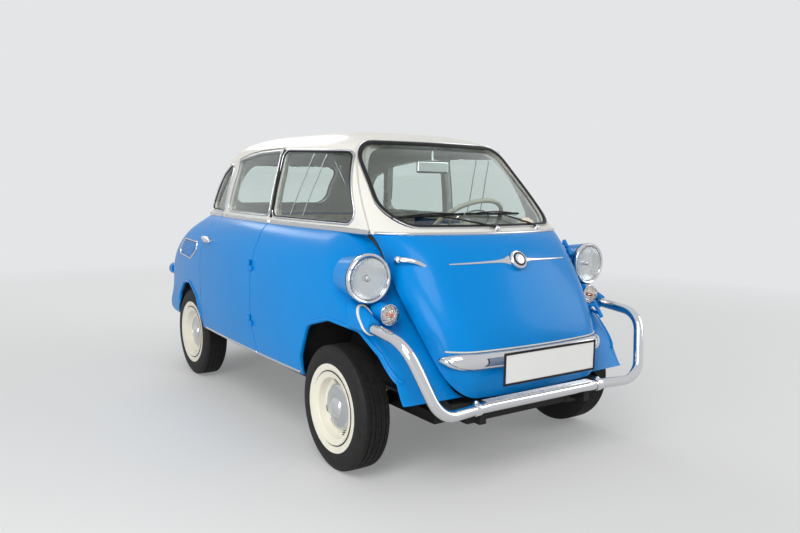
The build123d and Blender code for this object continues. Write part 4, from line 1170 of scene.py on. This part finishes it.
# ---- tail: louvres, plate, lamp and handle
lid_skin = skin("engine_lid")
LOUVRES, LOUVRE_LOW, LOUVRE_PITCH = 6, 0.700, 0.021
LOUVRE_X, SLIT_X = (0.060, 0.240), (0.070, 0.230)
SLIT_DROP = 0.0075                     # from the middle of a louvre down to its slit


def lid_line(side, ends, z):
    """Rays on to the lid along a level line."""
    return end_rays(between((side * ends[0], z), (side * ends[1], z), 14), 1)


for side, hand in HANDS.items():
    for count in range(LOUVRES):
        z = LOUVRE_LOW + count * LOUVRE_PITCH
        strip(f"louvre_{hand}_{count}", "lid", lid_skin, lid_line(side, LOUVRE_X, z),
              bead_section(0.013, 0.008), BLUE, lambda t: (1.0, min(1.0, 0.1 + min(t, 1 - t) * 9)))
        # each slit is a thin black bead on the closed lid, with no opening behind it: painted shade
        strip(f"louvre_slit_{hand}_{count}", "lid", lid_skin, lid_line(side, SLIT_X, z - SLIT_DROP),
              bead_section(0.004, 0.0012), BLACK_RUBBER_AND_SHADE)

REAR_PLATE_Z, PLATE_LAMP_Z, LID_HANDLE_Z = 0.580, 0.668, 0.462
REAR_PLATE_SIZE = (0.520, 0.114)
REAR_PLATE_OFF = 0.012                 # from the lid to the middle of the plate
BRACKET_X, BRACKET_BACK = 0.16, 0.0140


def on_lid(z):
    """Point and outward direction in the middle of the lid at a height."""
    return skin_point(lid_skin, *end_rays([(0, z)], 1)[0])


spot, normal = on_lid(REAR_PLATE_Z)
rear_place = facing(normal, spot + normal * REAR_PLATE_OFF)
piece(slab((*REAR_PLATE_SIZE, 0.003), rear_place, 0.001), "rear_plate", "lid", PLATE)
plate_frame("rear_plate_frame", rear_place @ Matrix.Translation((0, 0, 0.001)), "lid", *REAR_PLATE_SIZE)
brackets = [slab((0.030, 0.040, 0.024), rear_place @ Matrix.Translation((x, 0, -BRACKET_BACK)), 0.002)
            for x in (-BRACKET_X, BRACKET_X)]
piece(joined(*brackets), "rear_plate_brackets", "lid", CHASSIS)
spot, normal = on_lid(PLATE_LAMP_Z)
lamp_place = facing(normal, spot) @ Matrix.Translation((0, 0, 0.010))
piece(slab((0.110, 0.030, 0.036), lamp_place, 0.008), "plate_lamp", "lid", CHROME, 40)
spot, normal = on_lid(LID_HANDLE_Z)
boss = [(0.0, -0.006), (0.014, -0.006), (0.014, 0.004), (0.009, 0.010), (0.007, 0.022), (0.0, 0.024)]
turned("lid_handle_boss", boss, facing(normal, spot), "lid", CHROME, 32, 40)
piece(slab((0.072, 0.014, 0.009), facing(normal, spot + normal * 0.024), 0.004), "lid_handle_bar", "lid",
      CHROME, 50)

# ---- floor, light and camera
PALE = "#E4E5E6"
FLOOR_HALF = 60.0
GLOW_NEAR, GLOW_FAR = 1.5, 6.5         # from the middle, where the floor starts and ends going over to pale


def seen_by_eye(tree):
    """1 for rays from the camera, metal and glass, which see the pale surroundings as they are written."""
    path = add(tree, "ShaderNodeLightPath")
    first = add(tree, "ShaderNodeMath", {0: path.outputs["Is Camera Ray"], 1: path.outputs["Is Glossy Ray"]},
                operation="MAXIMUM")
    both = add(tree, "ShaderNodeMath", {0: first.outputs[0], 1: path.outputs["Is Transmission Ray"]},
               operation="MAXIMUM")
    return both.outputs[0]


def stage():
    """Matt floor that takes the car's shadow and goes over to the pale surroundings further out."""
    bm = bmesh.new()
    bmesh.ops.create_grid(bm, x_segments=1, y_segments=1, size=FLOOR_HALF)
    mesh = mesh_of(bm, "floor")
    material, tree, shader = new_material("pale_matt_floor", "#DEDEDC", Roughness=0.85)
    place = add(tree, "ShaderNodeTexCoord")
    away = add(tree, "ShaderNodeVectorMath", {0: place.outputs["Object"]}, operation="LENGTH")
    far = add(tree, "ShaderNodeMapRange", {"Value": away.outputs["Value"]}, From_Min=GLOW_NEAR,
              From_Max=GLOW_FAR, To_Min=0.25, To_Max=1.0)
    share = add(tree, "ShaderNodeMath", {0: far.outputs["Result"], 1: seen_by_eye(tree)},
                operation="MULTIPLY")
    glow = add(tree, "ShaderNodeEmission", Strength=1.0)
    glow.inputs["Color"].default_value = linear(PALE)
    mixed = add(tree, "ShaderNodeMixShader",
                {0: share.outputs[0], 1: shader.outputs["BSDF"], 2: glow.outputs["Emission"]})
    tree.links.new(mixed.outputs[0], tree.nodes["Material Output"].inputs["Surface"])
    mesh.materials.append(material)
    floor = placed("floor", mesh)


def lamp(name, at, target, size, power):
    """Round soft lamp that looks at a target."""
    data = bpy.data.lights.new(name, "AREA")
    data.shape = "DISK"
    data.size = size
    data.energy = power
    made = placed(name, data)
    made.location = at
    made.rotation_euler = (Vector(target) - Vector(at)).to_track_quat("-Z", "Y").to_euler()


def world():
    """Soft grey light from all round, seen by the eye as the pale backdrop."""
    made = bpy.data.worlds.new("studio")
    made.use_nodes = True
    tree = made.node_tree
    back = tree.nodes["Background"]
    back.inputs["Color"].default_value = linear("#E8E9EA")
    back.inputs["Strength"].default_value = 0.5
    glow = add(tree, "ShaderNodeBackground", Strength=1.0)
    glow.inputs["Color"].default_value = linear(PALE)
    mixed = add(tree, "ShaderNodeMixShader", {0: seen_by_eye(tree), 1: back.outputs[0], 2: glow.outputs[0]})
    tree.links.new(mixed.outputs[0], tree.nodes["World Output"].inputs["Surface"])
    bpy.context.scene.world = made


EYE = Vector((-2.0616, -3.3582, 1.1377))
AIM = math.radians(-34.826)
DIP = math.radians(6.556)
ROLL = math.radians(1.027)
FRAME_WIDTH, FOCAL = 800.0, 735.04


def camera():
    """Camera at the eye, turned, dipped and rolled."""
    ahead = Vector((-math.sin(AIM) * math.cos(DIP), math.cos(AIM) * math.cos(DIP), -math.sin(DIP)))
    right = ahead.cross(UP).normalized()
    above = right.cross(ahead)
    across = right * math.cos(ROLL) + above * math.sin(ROLL)
    top = above * math.cos(ROLL) - right * math.sin(ROLL)
    data = bpy.data.cameras.new("camera")
    data.sensor_width = 36.0
    data.lens = FOCAL * data.sensor_width / FRAME_WIDTH
    made = placed("camera", data)
    made.matrix_world = axes(across, top, -ahead, EYE)
    bpy.context.scene.camera = made


stage()
lamp("key", (-3.2, -3.4, 4.6), (0, 0, 0.6), 3.0, 135)
lamp("side", (-5.0, -2.6, 1.5), (0, 0, 0.6), 2.6, 95)
lamp("fill", (4.5, -3.5, 3.0), (0, 0, 0.6), 3.5, 80)
lamp("back", (0.5, 4.5, 4.0), (0, 0, 0.8), 3.0, 90)
world()
camera()
bpy.context.scene.view_settings.view_transform = "Standard"
